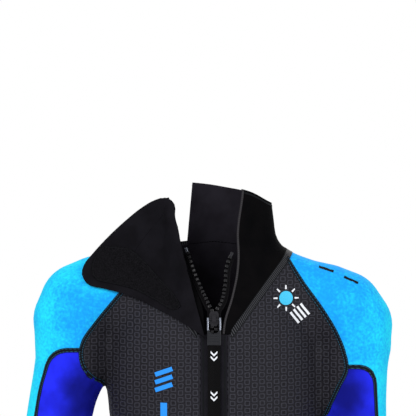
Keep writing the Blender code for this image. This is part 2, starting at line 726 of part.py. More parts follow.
def flap_front(x, z):
    """Front face of the flap at (x, z), drawn to the straight root line beside the zip."""
    top, low = np.array(FLAP_AXIS_TOP), np.array(FLAP_AXIS_BOTTOM)
    share = (z - low[2]) / (top[2] - low[2])
    root = low + share * (top - low)
    drape = front_point(x, z, flap_form)[1]
    w = smooth_step(0.0, 0.030, root[0] - x)
    return root[1] * (1 - w) + drape * w


def smooth_outline(corners, step):
    """Points about one step apart on a smooth curve through the corners."""
    rows = np.asarray(corners, float)
    run = np.concatenate([[0], np.cumsum(np.linalg.norm(np.diff(rows, axis=0), axis=1))])
    count = max(int(run[-1] / step), 3)
    return spline(np.linspace(0, run[-1], count), run, rows)


def outline_sheet(outline, spacing, depth_of, thickness):
    """A sheet of even faces inside an outline seen from the front, given its depth and thickness."""
    bm = bmesh.new()
    bm.faces.new([bm.verts.new((x, 0.0, z)) for x, z in outline])
    low = np.min(outline, axis=0)
    high = np.max(outline, axis=0)
    for axis, normal in ((0, (1, 0, 0)), (1, (0, 0, 1))):
        for at in np.arange(low[axis] + spacing, high[axis], spacing):
            where = [0.0, 0.0, 0.0]
            where[2 * axis] = at
            geom = list(bm.verts) + list(bm.edges) + list(bm.faces)
            bmesh.ops.bisect_plane(bm, geom=geom, plane_co=where, plane_no=normal, dist=0.0004)
    bmesh.ops.remove_doubles(bm, verts=bm.verts, dist=0.0008)
    bmesh.ops.triangulate(bm, faces=bm.faces)
    for v in bm.verts:
        v.co.y = depth_of(v.co.x, v.co.z)
    bm.normal_update()
    lean = {v: -v.normal if v.normal.y > 0 else v.normal.copy() for v in bm.verts}
    front = list(bm.verts)
    made = bmesh.ops.extrude_face_region(bm, geom=list(bm.faces), use_keep_orig=True)
    back = [g for g in made["geom"] if isinstance(g, bmesh.types.BMVert)]
    where = {tuple(v.co): v for v in front}
    for v in back:
        v.co = v.co - thickness * lean[where[tuple(v.co)]]
    bmesh.ops.recalc_face_normals(bm, faces=bm.faces)
    return bm


def collar_flap(mats):
    top, low = FLAP_AXIS_TOP, FLAP_AXIS_BOTTOM
    corners = [(top[0], top[2])] + list(FLAP_EDGE) + [(low[0], low[2])]
    outline = smooth_outline(corners, FLAP_MESH)
    bm = outline_sheet(outline, FLAP_MESH, flap_front, FABRIC)
    finish_object("collar_flap", bm, mats["smooth"], FLAP_AXIS_BOTTOM)
    patch = list(HOOK_PATCH) + [HOOK_PATCH[0]]
    outline = smooth_outline(patch, FLAP_MESH)[:-1]
    bm = outline_sheet(outline, FLAP_MESH, lambda x, z: flap_front(x, z) - 0.0036, 0.0012)
    finish_object("flap_hook_patch", bm, mats["black"], FLAP_AXIS_BOTTOM)


if __name__ == "__main__":
    clear_scene()
    MATS = {
        "chest": material("chest", (0.020, 0.019, 0.024), 0.6),
        "black": material("black", (0.010, 0.010, 0.012), 0.7),
        "smooth": material("smooth", (0.004, 0.004, 0.005), 0.6),
        "azure": material("azure", (0.02, 0.38, 0.92), 0.7),
        "royal": material("royal", (0.02, 0.03, 0.85), 0.7),
        "grey": material("grey", (0.06, 0.06, 0.06), 0.7),
        "metal": material("metal", (0.30, 0.30, 0.33), 0.35, 1.0),
    }
    shell_panels(body_mesh(), MATS)
    zip_rows(MATS)
    zip_slider(MATS)
    zip_puller(MATS)
    pull_strap(MATS)
    collar_flap(MATS)
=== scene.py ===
"""The looks of a full-length wetsuit with a front zip and a fold-over collar flap.

The neoprene panels lie on one smooth body form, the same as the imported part's, cut along its seams.
The suit faces -Y, +Z is up, and +X is the wearer's left.  Lengths are in metres.
"""

import math

import bmesh
import bpy
import numpy as np
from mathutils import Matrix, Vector
from numpy.linalg import norm


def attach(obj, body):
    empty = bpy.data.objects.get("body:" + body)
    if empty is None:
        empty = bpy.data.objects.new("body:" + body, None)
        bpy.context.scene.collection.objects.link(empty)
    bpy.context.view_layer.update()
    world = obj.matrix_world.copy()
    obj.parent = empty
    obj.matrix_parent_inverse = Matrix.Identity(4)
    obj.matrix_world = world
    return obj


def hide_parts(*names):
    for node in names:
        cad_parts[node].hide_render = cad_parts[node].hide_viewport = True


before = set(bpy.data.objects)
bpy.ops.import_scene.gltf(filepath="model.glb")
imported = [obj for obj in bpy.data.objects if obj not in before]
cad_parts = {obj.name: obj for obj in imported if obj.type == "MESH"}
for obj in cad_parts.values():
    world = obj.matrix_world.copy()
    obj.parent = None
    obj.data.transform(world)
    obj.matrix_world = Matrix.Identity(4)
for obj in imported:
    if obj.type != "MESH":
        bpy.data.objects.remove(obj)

# Driving dimensions, in metres
FABRIC = 0.003          # neoprene thickness
GAP = 0.0003            # clearance between neighbouring pieces
SEAM = 0.0007           # width of the cut between two panels
ANKLE_HEM_Z = -1.365
ANKLE_CUFF = 0.045      # height of each ankle cuff
WRIST_HEM_Z = -0.600
WRIST_CUFF = 0.035      # height of each wrist cuff
ELBOW_SEAM_Z = -0.375
WAIST_SEAM_Z = -0.400   # seam between upper and lower back
KNEE_TOP_Z = -0.950
KNEE_BOTTOM_Z = -1.100
CALF_TOP_Z = -1.050
SIDE_SEAM_Y = 0.010     # where the front panels meet the back ones
BINDING = 0.0036        # width of the grey binding along the throat's left edge
SIDE_TOP_Z = -0.140     # the side panels start under the arms, hidden by the sleeves' seams
CROTCH_SEAM_Z = -0.715
HIP_SEAM_RISE = 0.60    # rise of the leg seam per metre of half width
ZIP_TOP_Z = -0.080      # where the closed chain ends and the open V starts
ZIP_BOTTOM_Z = -0.470
ZIP_Y = -0.1040         # the flat front strip that the zip runs down
TEETH_X = 0.0031        # centre of each row of teeth
FACING_IN = 0.0072      # smooth facing beside the teeth, inner and outer edge
FACING_OUT = 0.0180
FACING_LINE = 0.0145   # the row of stitches down each facing
HEM_STITCH = 0.006      # height of the stitches above a hem
SLIDER_LENGTH = 0.020
SLIDER_HALF = 0.0064
PLATE = 0.0012          # thickness of the slider's two plates
PIVOT_Z = -0.0905
PIVOT_Y = ZIP_Y - 0.0042
PIN_RADIUS = 0.0009
EYE_RADIUS = 0.0023
PULLER_HALF = 0.0094
PULLER_LENGTH = 0.0350
PULLER_THICK = 0.0024
PRONG = 0.0022           # width of each bright prong of the puller
PRONG_LENGTH = 0.0150
STRAP_HALF = 0.0084
STRAP_THICK = 0.0018
STRAP_LENGTH = 0.240
STRAP_GAP = 0.0008      # lets the strap swing without meeting the puller
TAB_LENGTH = 0.022
# Body form, as columns of level sections: (z, centre x, centre y, half width, half depth)
TORSO = (
    (0.015, 0.0, 0.012, 0.030, 0.030), (-0.020, 0.0, 0.009, 0.086, 0.064),
    (-0.060, 0.0, 0.006, 0.124, 0.090), (-0.110, 0.0, 0.003, 0.141, 0.106),
    (-0.200, 0.0, 0.003, 0.147, 0.112), (-0.300, 0.0, 0.003, 0.135, 0.110),
    (-0.420, 0.0, 0.000, 0.128, 0.103), (-0.520, 0.0, 0.004, 0.147, 0.109),
    (-0.620, 0.0, 0.012, 0.166, 0.117), (-0.700, 0.0, 0.012, 0.150, 0.108),
    (-0.760, 0.0, 0.010, 0.090, 0.070))
NECK = (
    (0.150, 0.014, 0.015, 0.067, 0.061), (0.070, 0.012, 0.014, 0.069, 0.062),
    (0.035, 0.009, 0.013, 0.076, 0.064), (0.000, 0.002, 0.012, 0.086, 0.066),
    (-0.060, 0.000, 0.012, 0.086, 0.066))
COLLAR_TOP = ((0.120, 0.055), (0.077, 0.069), (0.054, 0.081), (0.0135, 0.0905), (-0.120, 0.100))
LEG = (
    (-0.580, 0.084, 0.010, 0.070, 0.095), (-0.700, 0.088, 0.008, 0.083, 0.096),
    (-0.800, 0.092, 0.006, 0.076, 0.086), (-0.950, 0.098, 0.004, 0.065, 0.070),
    (-1.030, 0.101, 0.004, 0.058, 0.062), (-1.130, 0.105, 0.014, 0.055, 0.061),
    (-1.250, 0.108, 0.012, 0.044, 0.050), (-1.350, 0.111, 0.006, 0.038, 0.042),
    (-1.430, 0.113, 0.004, 0.037, 0.041))
# Arms, as round sections along a centre line: (x, y, z, radius), for the wearer's left and right
ARM_LEFT = (
    (0.030, 0.012, -0.022, 0.050), (0.110, 0.009, -0.060, 0.053), (0.190, 0.005, -0.097, 0.0575),
    (0.193, 0.002, -0.160, 0.050), (0.195, 0.000, -0.221, 0.0455), (0.212, 0.000, -0.350, 0.041),
    (0.218, -0.008, -0.430, 0.041), (0.232, -0.026, -0.530, 0.033), (0.243, -0.040, -0.610, 0.029),
    (0.252, -0.052, -0.680, 0.029))
ARM_RIGHT = (
    (-0.030, 0.012, -0.022, 0.050), (-0.110, 0.009, -0.052, 0.053), (-0.189, 0.005, -0.080, 0.0585),
    (-0.199, 0.002, -0.150, 0.050), (-0.214, 0.000, -0.221, 0.0455), (-0.238, 0.000, -0.350, 0.041),
    (-0.252, -0.008, -0.430, 0.041), (-0.270, -0.026, -0.530, 0.033), (-0.284, -0.040, -0.610, 0.029),
    (-0.296, -0.052, -0.680, 0.029))
# Seams, each as (z, distance from the centre plane) seen from the front
ARMHOLE_FRONT = {
    1: ((0.02, 0.088), (-0.012, 0.103), (-0.042, 0.121), (-0.080, 0.148), (-0.111, 0.167),
        (-0.138, 0.178), (-0.163, 0.182), (-0.188, 0.171)),
    -1: ((0.02, 0.088), (-0.012, 0.100), (-0.042, 0.115), (-0.070, 0.138), (-0.099, 0.162),
         (-0.124, 0.179), (-0.146, 0.183), (-0.165, 0.176))}
ARMHOLE_BACK = ((0.02, 0.080), (-0.030, 0.105), (-0.080, 0.128), (-0.140, 0.148))
UNDERARM = {
    1: ((-0.140, 0.2195), (-0.185, 0.2225), (-0.221, 0.2245), (-0.300, 0.229), (-0.400, 0.241)),
    -1: ((-0.120, 0.2200), (-0.165, 0.2325), (-0.192, 0.2400), (-0.221, 0.2450), (-0.300, 0.258),
         (-0.400, 0.276))}
UNDERARM_TOP = {1: -0.159, -1: -0.136}
THROAT_LEFT = ((0.12, 0.041), (0.081, 0.038), (0.024, 0.031), (-0.009, 0.032), (-0.031, 0.030),
               (-0.062, 0.023), (-0.092, 0.0135), (-0.115, 0.0105))
THROAT_RIGHT = ((0.12, -0.090), (0.004, -0.046), (-0.038, -0.031), (-0.073, -0.016), (-0.092, -0.0135),
                (-0.115, -0.0105))
# Open rows of teeth above the slider, as (z, x) from the top down
TEETH_V = {1: ((-0.001, 0.0255), (-0.020, 0.0178), (-0.045, 0.0155), (-0.068, 0.0098), (-0.079, 0.0031)),
           -1: ((-0.001, -0.0370), (-0.038, -0.0230), (-0.071, -0.0070), (-0.079, -0.0031))}
NECK_SEAM_Z = -0.111    # lowest point of the neck seam
NECK_SEAM_X = 0.023
NECK_SEAM_SLOPE = 1.30
# Flap: its free outline seen from the front, from the top of its root round to the bottom of it
FLAP_AXIS_TOP = (-0.0445, -0.0845, 0.004)
FLAP_AXIS_BOTTOM = (-0.0125, -0.1165, -0.114)
FLAP_STANDOFF = 0.005   # how far the open flap lies in front of the chest
FLAP_EDGE = ((-0.0475, 0.026), (-0.0530, 0.049), (-0.0535, 0.064), (-0.0600, 0.0715), (-0.0700, 0.0732),
             (-0.0840, 0.0695), (-0.1000, 0.0600), (-0.1200, 0.0440), (-0.1480, 0.0180),
             (-0.1690, -0.0050), (-0.1790, -0.0180), (-0.1820, -0.0310), (-0.1750, -0.0430),
             (-0.1500, -0.0510), (-0.1280, -0.0570), (-0.1000, -0.0670), (-0.0715, -0.0800),
             (-0.0400, -0.0970))
HOOK_PATCH = ((-0.1540, 0.0090), (-0.1350, 0.0070), (-0.1160, 0.0040), (-0.0990, -0.0100),
              (-0.0760, -0.0350), (-0.0500, -0.0640), (-0.0450, -0.0740), (-0.0520, -0.0780),
              (-0.0800, -0.0660), (-0.1100, -0.0520), (-0.1400, -0.0440), (-0.1640, -0.0370),
              (-0.1700, -0.0250), (-0.1660, -0.0080))
MESH_SIZE = 0.009       # edge length of the body form
FLAP_MESH = 0.006       # edge length of the flap and its patch
TOOTH_PITCH = 0.0072
SHARP = 0.75            # angle between faces from which an edge stays sharp, in radians

# Colours as displayed, 0 to 255
AZURE = (25, 152, 234)
# Painted highlight colour of the sleeves, also the lighter end of their random mottle
CYAN_HIGHLIGHT_AND_MOTTLE = (38, 222, 244)
ROYAL = (37, 46, 242)
ROYAL_SHADE = (30, 36, 205)
# Painted shade in the folds round the armpits
ROYAL_ARMPIT_SHADE = (12, 15, 90)
CHEST = (31, 30, 35)
CHEST_SHADE = (20, 19, 23)
CHEST_LINE = (62, 62, 70)
BAND = (9, 11, 14)
TEAL = (40, 88, 112)
STRAP = (14, 13, 14)
STRAP_SHADE = (6, 6, 6)
HOOK = (19, 19, 21)

# Studio: world strength, lights in watts, floor height, lens in mm and camera place
AMBIENT = 0.60
KEY = 55.0
FILL = 24.0
REAR = 40.0
FLOOR_Z = -1.45
CAMERA_LENS = 189.0
CAMERA_PLACE = (-0.0081, -3.05, 0.0594)

SIDES = (("left", 1), ("right", -1))
MATS = {}               # the finished materials by look


def spline(t, knots, values):
    """A smooth curve through (knots, values), read at t; the knots rise."""
    knots = np.asarray(knots, float)
    values = np.asarray(values, float)
    slope = np.gradient(values, knots, axis=0)
    t = np.clip(t, knots[0], knots[-1])
    i = np.clip(np.searchsorted(knots, t) - 1, 0, len(knots) - 2)
    width = knots[i + 1] - knots[i]
    u = (t - knots[i]) / width
    if values.ndim > 1:
        u = u[:, None]
        width = width[:, None]
    a = (1 + 2 * u) * (1 - u) ** 2 * values[i]
    b = u * (1 - u) ** 2 * width * slope[i]
    c = u * u * (3 - 2 * u) * values[i + 1]
    d = u * u * (u - 1) * width * slope[i + 1]
    return a + b + c + d


def curve_at(z, table):
    """Reads a table of (z, value) rows, falling in z, as a smooth curve."""
    rows = np.asarray(table, float)[::-1]
    return spline(z, rows[:, 0], rows[:, 1])


def smooth_min(a, b, k):
    h = np.clip(0.5 + 0.5 * (b - a) / k, 0.0, 1.0)
    return b * (1 - h) + a * h - k * h * (1 - h)


def smooth_step(low, high, t):
    u = np.clip((t - low) / (high - low), 0.0, 1.0)
    return u * u * (3 - 2 * u)


def column(p, table, side=1.0):
    """Distance-like field of a column of level sections."""
    rows = np.asarray(table, float)[::-1]
    s = spline(p[:, 2], rows[:, 0], rows[:, 1:])
    q = np.hypot((p[:, 0] - side * s[:, 0]) / s[:, 2], (p[:, 1] - s[:, 1]) / s[:, 3])
    f = (q - 1) * np.sqrt(s[:, 2] * s[:, 3])
    past = np.maximum(p[:, 2] - rows[-1, 0], rows[0, 0] - p[:, 2])
    return np.where(past > 0, np.hypot(np.maximum(f, 0), past), f)


def run_of(rows):
    """Distance along a path at each of its points."""
    return np.concatenate([[0], np.cumsum(norm(np.diff(rows, axis=0), axis=1))])


def ahead_at(points, i):
    """Unit direction of a path at one of its points."""
    step = points[min(i + 1, len(points) - 1)] - points[max(i - 1, 0)]
    return step / norm(step)


def arm_line(table, steps=30):
    rows = np.asarray(table, float)
    run = run_of(rows[:, :3])
    return spline(np.linspace(0, run[-1], steps), run, rows)


def arm_field(p, line):
    """Distance to a round tube of changing radius along a centre line."""
    best = np.full(len(p), 1e9)
    for a, b in zip(line[:-1], line[1:]):
        d = b[:3] - a[:3]
        t = np.clip((p - a[:3]) @ d / (d @ d), 0, 1)
        c = a[:3] + t[:, None] * d
        best = np.minimum(best, norm(p - c, axis=1) - (a[3] + t * (b[3] - a[3])))
    return best


ARM_LINES = {1: arm_line(ARM_LEFT), -1: arm_line(ARM_RIGHT)}


def body_field(p):
    """Zero on the outside of the suit, negative inside."""
    legs = np.minimum(column(p, LEG, 1.0), column(p, LEG, -1.0))
    f = smooth_min(column(p, TORSO), legs, 0.030)
    f = smooth_min(f, column(p, NECK), 0.045)
    arms = np.minimum(arm_field(p, ARM_LINES[1]), arm_field(p, ARM_LINES[-1]))
    f = smooth_min(f, arms, 0.020)
    plane = ZIP_Y - p[:, 1]
    near = (1 - smooth_step(0.019, 0.060, np.abs(p[:, 0]))) * (p[:, 1] < 0)
    near = near * smooth_step(-0.045, -0.080, p[:, 2]) * smooth_step(-0.540, -0.475, p[:, 2])
    return f * (1 - near) + plane * near


def gradient(field, p, h=0.0005):
    g = np.empty_like(p)
    for k in range(3):
        step = np.zeros(3)
        step[k] = h
        g[:, k] = (field(p + step) - field(p - step)) / (2 * h)
    return g


def onto(field, p, rounds=7):
    """Moves points onto the field's zero surface."""
    p = np.array(p, float)
    for _ in range(rounds):
        g = gradient(field, p)
        p -= (field(p) / np.maximum((g * g).sum(1), 0.05))[:, None] * g
    return p


def unit_normals(field, p):
    g = gradient(field, p)
    return g / norm(g, axis=1)[:, None]


def outward_of(bm):
    """The layer that holds each vertex's outward direction."""
    return bm.verts.layers.float_vector["outward"]


def turn_faces_out(bm):
    bmesh.ops.recalc_face_normals(bm, faces=bm.faces)


def new_verts(made):
    """The vertices that a bmesh operator has just made."""
    return [g for g in made["geom"] if isinstance(g, bmesh.types.BMVert)]


def add_tube(bm, rings):
    """Closed tube through rings of points."""
    loops = [[bm.verts.new(co) for co in ring] for ring in rings]
    n = len(loops[0])
    for low, high in zip(loops[:-1], loops[1:]):
        for i in range(n):
            bm.faces.new((low[i], low[(i + 1) % n], high[(i + 1) % n], high[i]))
    bm.faces.new(loops[0][::-1])
    bm.faces.new(loops[-1])


def section_rings(table, side=1.0, count=24, steps=40):
    rows = np.asarray(table, float)[::-1]
    z = np.linspace(rows[0, 0], rows[-1, 0], steps)
    s = spline(z, rows[:, 0], rows[:, 1:])
    turn = np.linspace(0, 2 * math.pi, count, endpoint=False)
    return [[(side * c[0] + c[2] * math.cos(a), c[1] + c[3] * math.sin(a), h) for a in turn]
            for h, c in zip(z, s)]


def arm_rings(line, count=16):
    turn = np.linspace(0, 2 * math.pi, count, endpoint=False)
    rings = []
    for i, row in enumerate(line):
        ahead = ahead_at(line[:, :3], i)
        across = np.cross(ahead, (0, 1, 0))
        across /= norm(across)
        up = np.cross(across, ahead)
        rings.append([row[:3] + row[3] * (math.cos(a) * across + math.sin(a) * up) for a in turn])
    return rings


def add_object(name, data):
    made = bpy.data.objects.new(name, data)
    bpy.context.scene.collection.objects.link(made)
    return made


def mesh_of(bm, name):
    """The bmesh as mesh data; the bmesh is freed."""
    mesh = bpy.data.meshes.new(name)
    bm.to_mesh(mesh)
    bm.free()
    return mesh


def tube(rings):
    bm = bmesh.new()
    add_tube(bm, rings)
    turn_faces_out(bm)
    return bm


def through_modifier(bm, kind, **settings):
    """The mesh as the named modifier leaves it."""
    before = mesh_of(bm, "through")
    holder = add_object("through", before)
    modifier = holder.modifiers.new("step", kind)
    for key, value in settings.items():
        setattr(modifier, key, value)
    after = bpy.data.meshes.new_from_object(holder.evaluated_get(bpy.context.evaluated_depsgraph_get()))
    bpy.data.objects.remove(holder, do_unlink=True)
    result = bmesh.new()
    result.from_mesh(after)
    bpy.data.meshes.remove(before)
    bpy.data.meshes.remove(after)
    return result


def body_mesh():
    """The whole outside of the suit as one closed mesh lying on the body form."""
    bm = bmesh.new()
    add_tube(bm, section_rings(TORSO))
    add_tube(bm, section_rings(NECK))
    add_tube(bm, section_rings(LEG, 1.0))
    add_tube(bm, section_rings(LEG, -1.0))
    for line in ARM_LINES.values():
        add_tube(bm, arm_rings(line))
    turn_faces_out(bm)
    bm = through_modifier(bm, "REMESH", mode="VOXEL", voxel_size=MESH_SIZE)
    for _ in range(4):
        bmesh.ops.smooth_vert(bm, verts=bm.verts, factor=0.5,
                              use_axis_x=True, use_axis_y=True, use_axis_z=True)
        settle(bm, body_field, 3)
    bmesh.ops.triangulate(bm, faces=bm.faces)
    settle(bm, body_field, 4)
    outward = bm.verts.layers.float_vector.new("outward")
    for v, n in zip(bm.verts, unit_normals(body_field, points_of(bm))):
        v[outward] = n
    even = [sum((e.other_vert(v)[outward] for e in v.link_edges), v[outward] * 2) for v in bm.verts]
    for v, n in zip(bm.verts, even):
        v[outward] = n.normalized()
    return bm


def settle(bm, field, rounds):
    p = onto(field, [v.co[:] for v in bm.verts], rounds)
    for v, co in zip(bm.verts, p):
        v.co = co


def points_of(bm):
    return np.array([v.co[:] for v in bm.verts], float)


def clip(bm, values):
    """Cuts the faces where the values at the vertices cross zero and keeps the positive side."""
    layer = bm.verts.layers.float.new("side")
    outward = outward_of(bm)
    for v, value in zip(bm.verts, values):
        v[layer] = value if abs(value) > 1e-7 else 1e-7
    for edge in list(bm.edges):
        a, b = edge.verts
        if a[layer] * b[layer] < 0:
            share = a[layer] / (a[layer] - b[layer])
            normal = a[outward] * (1 - share) + b[outward] * share
            _, new = bmesh.utils.edge_split(edge, a, share)
            new[layer] = 0.0
            new[outward] = normal
    for face in list(bm.faces):
        cut = [v for v in face.verts if v[layer] == 0.0]
        if len(cut) == 2 and not any(set(e.verts) == set(cut) for e in face.edges):
            bmesh.utils.face_split(face, cut[0], cut[1])
        elif len(cut) > 2:
            bmesh.ops.connect_verts(bm, verts=cut)
    gone = [f for f in bm.faces if sum(v[layer] for v in f.verts) <= 0]
    bmesh.ops.delete(bm, geom=gone, context="FACES")
    loose = [v for v in bm.verts if not v.link_faces]
    bmesh.ops.delete(bm, geom=loose, context="VERTS")
    bm.verts.layers.float.remove(layer)


def thicken(bm, depth):
    """Gives an open sheet its thickness, inwards against the form's own normals."""
    outward = outward_of(bm)
    bmesh.ops.triangulate(bm, faces=bm.faces)
    made = bmesh.ops.extrude_face_region(bm, geom=list(bm.faces), use_keep_orig=True)
    for v in new_verts(made):
        v.co = v.co - depth * v[outward]
    turn_faces_out(bm)


def above_neck_seam(p):
    x = np.abs(p[:, 0])
    front = NECK_SEAM_Z + NECK_SEAM_SLOPE * np.maximum(x - NECK_SEAM_X, 0.0)
    back = 0.012 - 0.10 * x
    w = smooth_step(-0.030, 0.030, p[:, 1])
    return (p[:, 2] - front * (1 - w) - back * w) * 0.75


def armpit(side):
    """Height and distance from the centre plane of the point where arm and side part."""
    x = side * np.linspace(0.125, 0.175, 60)
    high, low = -0.12, -0.30
    for _ in range(24):
        z = (high + low) / 2
        row = np.stack([x, 0 * x + 0.003, 0 * x + z], axis=1)
        if body_field(row).max() > 0:
            low = z
        else:
            high = z
    row[:, 2] = low
    return low, abs(x[np.argmax(body_field(row))])


ARMPIT = {1: armpit(1), -1: armpit(-1)}


def in_sleeve(p, side):
    low, x_low = ARMPIT[side]
    front = curve_at(p[:, 2], ARMHOLE_FRONT[side] + ((low, x_low),))
    back = curve_at(p[:, 2], ARMHOLE_BACK + ((low, x_low),))
    w = smooth_step(-0.020, 0.030, p[:, 1])
    g = side * p[:, 0] - front * (1 - w) - back * w
    nearer_arm = column(p, TORSO) - arm_field(p, ARM_LINES[side])
    under = smooth_step(low + 0.014, low - 0.004, p[:, 2])
    return g * (1 - under) + nearer_arm * under


def in_underarm(p, side):
    outer = curve_at(p[:, 2], UNDERARM[side]) - side * p[:, 0]
    return smooth_min(outer, UNDERARM_TOP[side] - p[:, 2], 0.025)


def in_side(p):
    middle = 0.022 + 0.02 * smooth_step(-0.30, -0.60, p[:, 2])
    half = 0.024 + 0.016 * smooth_step(-0.22, -0.50, p[:, 2])
    return np.minimum(half - np.abs(p[:, 1] - middle), SIDE_TOP_Z - p[:, 2])


def in_leg(p):
    return (CROTCH_SEAM_Z + HIP_SEAM_RISE * np.abs(p[:, 0]) - p[:, 2]) * 0.85


def in_front(p):
    return SIDE_SEAM_Y - p[:, 1]


def throat_side(p):
    """Positive on the collar stand, from the throat's left edge round to the open edge at the back."""
    front = p[:, 0] - curve_at(p[:, 2], THROAT_LEFT)
    back = p[:, 0] + 0.031 + 0.09 * (0.093 - p[:, 2])
    return np.where(p[:, 1] < 0.015, front, back)


def past_binding(p):
    return np.where(p[:, 1] < 0.015, throat_side(p) - BINDING, 1.0)


def turned_side(p):
    """Positive on the turned-over right half of the collar."""
    front = curve_at(p[:, 2], THROAT_RIGHT) - p[:, 0]
    return np.where(p[:, 1] < 0.015, front, 1.0)


def collar_top(p):
    rows = np.asarray(COLLAR_TOP, float)[::-1]
    return spline(p[:, 0], rows[:, 0], rows[:, 1]) - p[:, 2]


def fold_top(p):
    return 0.003 + 0.038 * smooth_step(-0.042, -0.078, p[:, 0]) - p[:, 2]


def above(z):
    return lambda p: p[:, 2] - z


def left_of(x):
    return lambda p: p[:, 0] - x


def left_half(p):
    return p[:, 0]


def part_by(bm, field):
    """Cuts a sheet along a seam: the piece on the field's positive side, and the rest."""
    values = field(points_of(bm))
    rest = bm.copy()
    clip(bm, values - SEAM / 2)
    clip(rest, -values - SEAM / 2)
    return bm, rest


def kept_part(bm, field):
    """The piece of a sheet on a field's positive side alone."""
    kept, spare = part_by(bm, field)
    spare.free()
    return kept


def block(low, high):
    bm = bmesh.new()
    bmesh.ops.create_cube(bm, size=1.0)
    low = Vector(low)
    size = Vector(high) - low
    for v in bm.verts:
        v.co = Vector(low[k] + (v.co[k] + 0.5) * size[k] for k in range(3))
    return bm


def rod(centre, radius, half_length):
    """Round bar along X."""
    bm = bmesh.new()
    size = dict(radius1=radius, radius2=radius, depth=2 * half_length)
    bmesh.ops.create_cone(bm, cap_ends=True, segments=16, **size)
    for v in bm.verts:
        v.co = Vector((centre[0] + v.co.z, centre[1] + v.co.x, centre[2] + v.co.y))
    turn_faces_out(bm)
    return bm


def combine(body, others, operation):
    """Applies one Boolean after another to a mesh."""
    for other in others:
        tool = add_object("tool", mesh_of(other, "tool"))
        body = through_modifier(body, "BOOLEAN", object=tool, operation=operation)
        bpy.data.objects.remove(tool, do_unlink=True)
    return body


def flap_form(p):
    """What the open flap lies over: the chest with the standoff, and the roll of the turned collar."""
    q = (p - (-0.075, 0.020, 0.010)) / (0.115, 0.060, 0.085)
    roll = (norm(q, axis=1) - 1) * 0.07
    return smooth_min(body_field(p) - FLAP_STANDOFF, roll, 0.030)


def smooth_outline(corners, step):
    """Points about one step apart on a smooth curve through the corners."""
    rows = np.asarray(corners, float)
    run = run_of(rows)
    count = max(int(run[-1] / step), 3)
    return spline(np.linspace(0, run[-1], count), run, rows)


def outline_sheet(outline, spacing, depth_of, thickness):
    """A sheet of even faces inside an outline seen from the front, given its depth and thickness."""
    bm = bmesh.new()
    bm.faces.new([bm.verts.new((x, 0.0, z)) for x, z in outline])
    low = np.min(outline, axis=0)
    high = np.max(outline, axis=0)
    for axis, normal in ((0, (1, 0, 0)), (1, (0, 0, 1))):
        for at in np.arange(low[axis] + spacing, high[axis], spacing):
            where = [0.0, 0.0, 0.0]
            where[2 * axis] = at
            geom = list(bm.verts) + list(bm.edges) + list(bm.faces)
            bmesh.ops.bisect_plane(bm, geom=geom, plane_co=where, plane_no=normal, dist=0.0004)
    bmesh.ops.remove_doubles(bm, verts=bm.verts, dist=0.0008)
    bmesh.ops.triangulate(bm, faces=bm.faces)
    p = points_of(bm)
    for v, y in zip(bm.verts, depth_of(p[:, 0], p[:, 2])):
        v.co.y = y
    bm.normal_update()
    lean = {v: -v.normal if v.normal.y > 0 else v.normal.copy() for v in bm.verts}
    front = list(bm.verts)
    made = bmesh.ops.extrude_face_region(bm, geom=list(bm.faces), use_keep_orig=True)
    back = new_verts(made)
    where = {tuple(v.co): v for v in front}
    for v in back:
        v.co = v.co - thickness * lean[where[tuple(v.co)]]
    turn_faces_out(bm)
    return bm


def front_depth(x, z, field=body_field):
    """How far back a form's front lies at each (x, z)."""
    near = np.full(len(x), -0.20)
    far = np.full(len(x), 0.03)
    for _ in range(20):
        middle = (near + far) / 2
        outside = field(np.stack([x, middle, z], axis=1)) > 0
        near = np.where(outside, middle, near)
        far = np.where(outside, far, middle)
    return near


def flap_front(x, z):
    """Front face of the open flap, drawn to its straight root line beside the zip."""
    top, low = np.array(FLAP_AXIS_TOP), np.array(FLAP_AXIS_BOTTOM)
    share = (z - low[2]) / (top[2] - low[2])
    root_x = low[0] + share * (top[0] - low[0])
    root_y = low[1] + share * (top[1] - low[1])
    w = smooth_step(0.0, 0.030, root_x - x)
    return root_y * (1 - w) + front_depth(x, z, flap_form) * w


def linear(r, g, b):
    """A display colour, 0 to 255, as the shader's linear colour."""
    return tuple(((c / 255 + 0.055) / 1.055) ** 2.4 if c > 10 else c / 255 / 12.92 for c in (r, g, b))


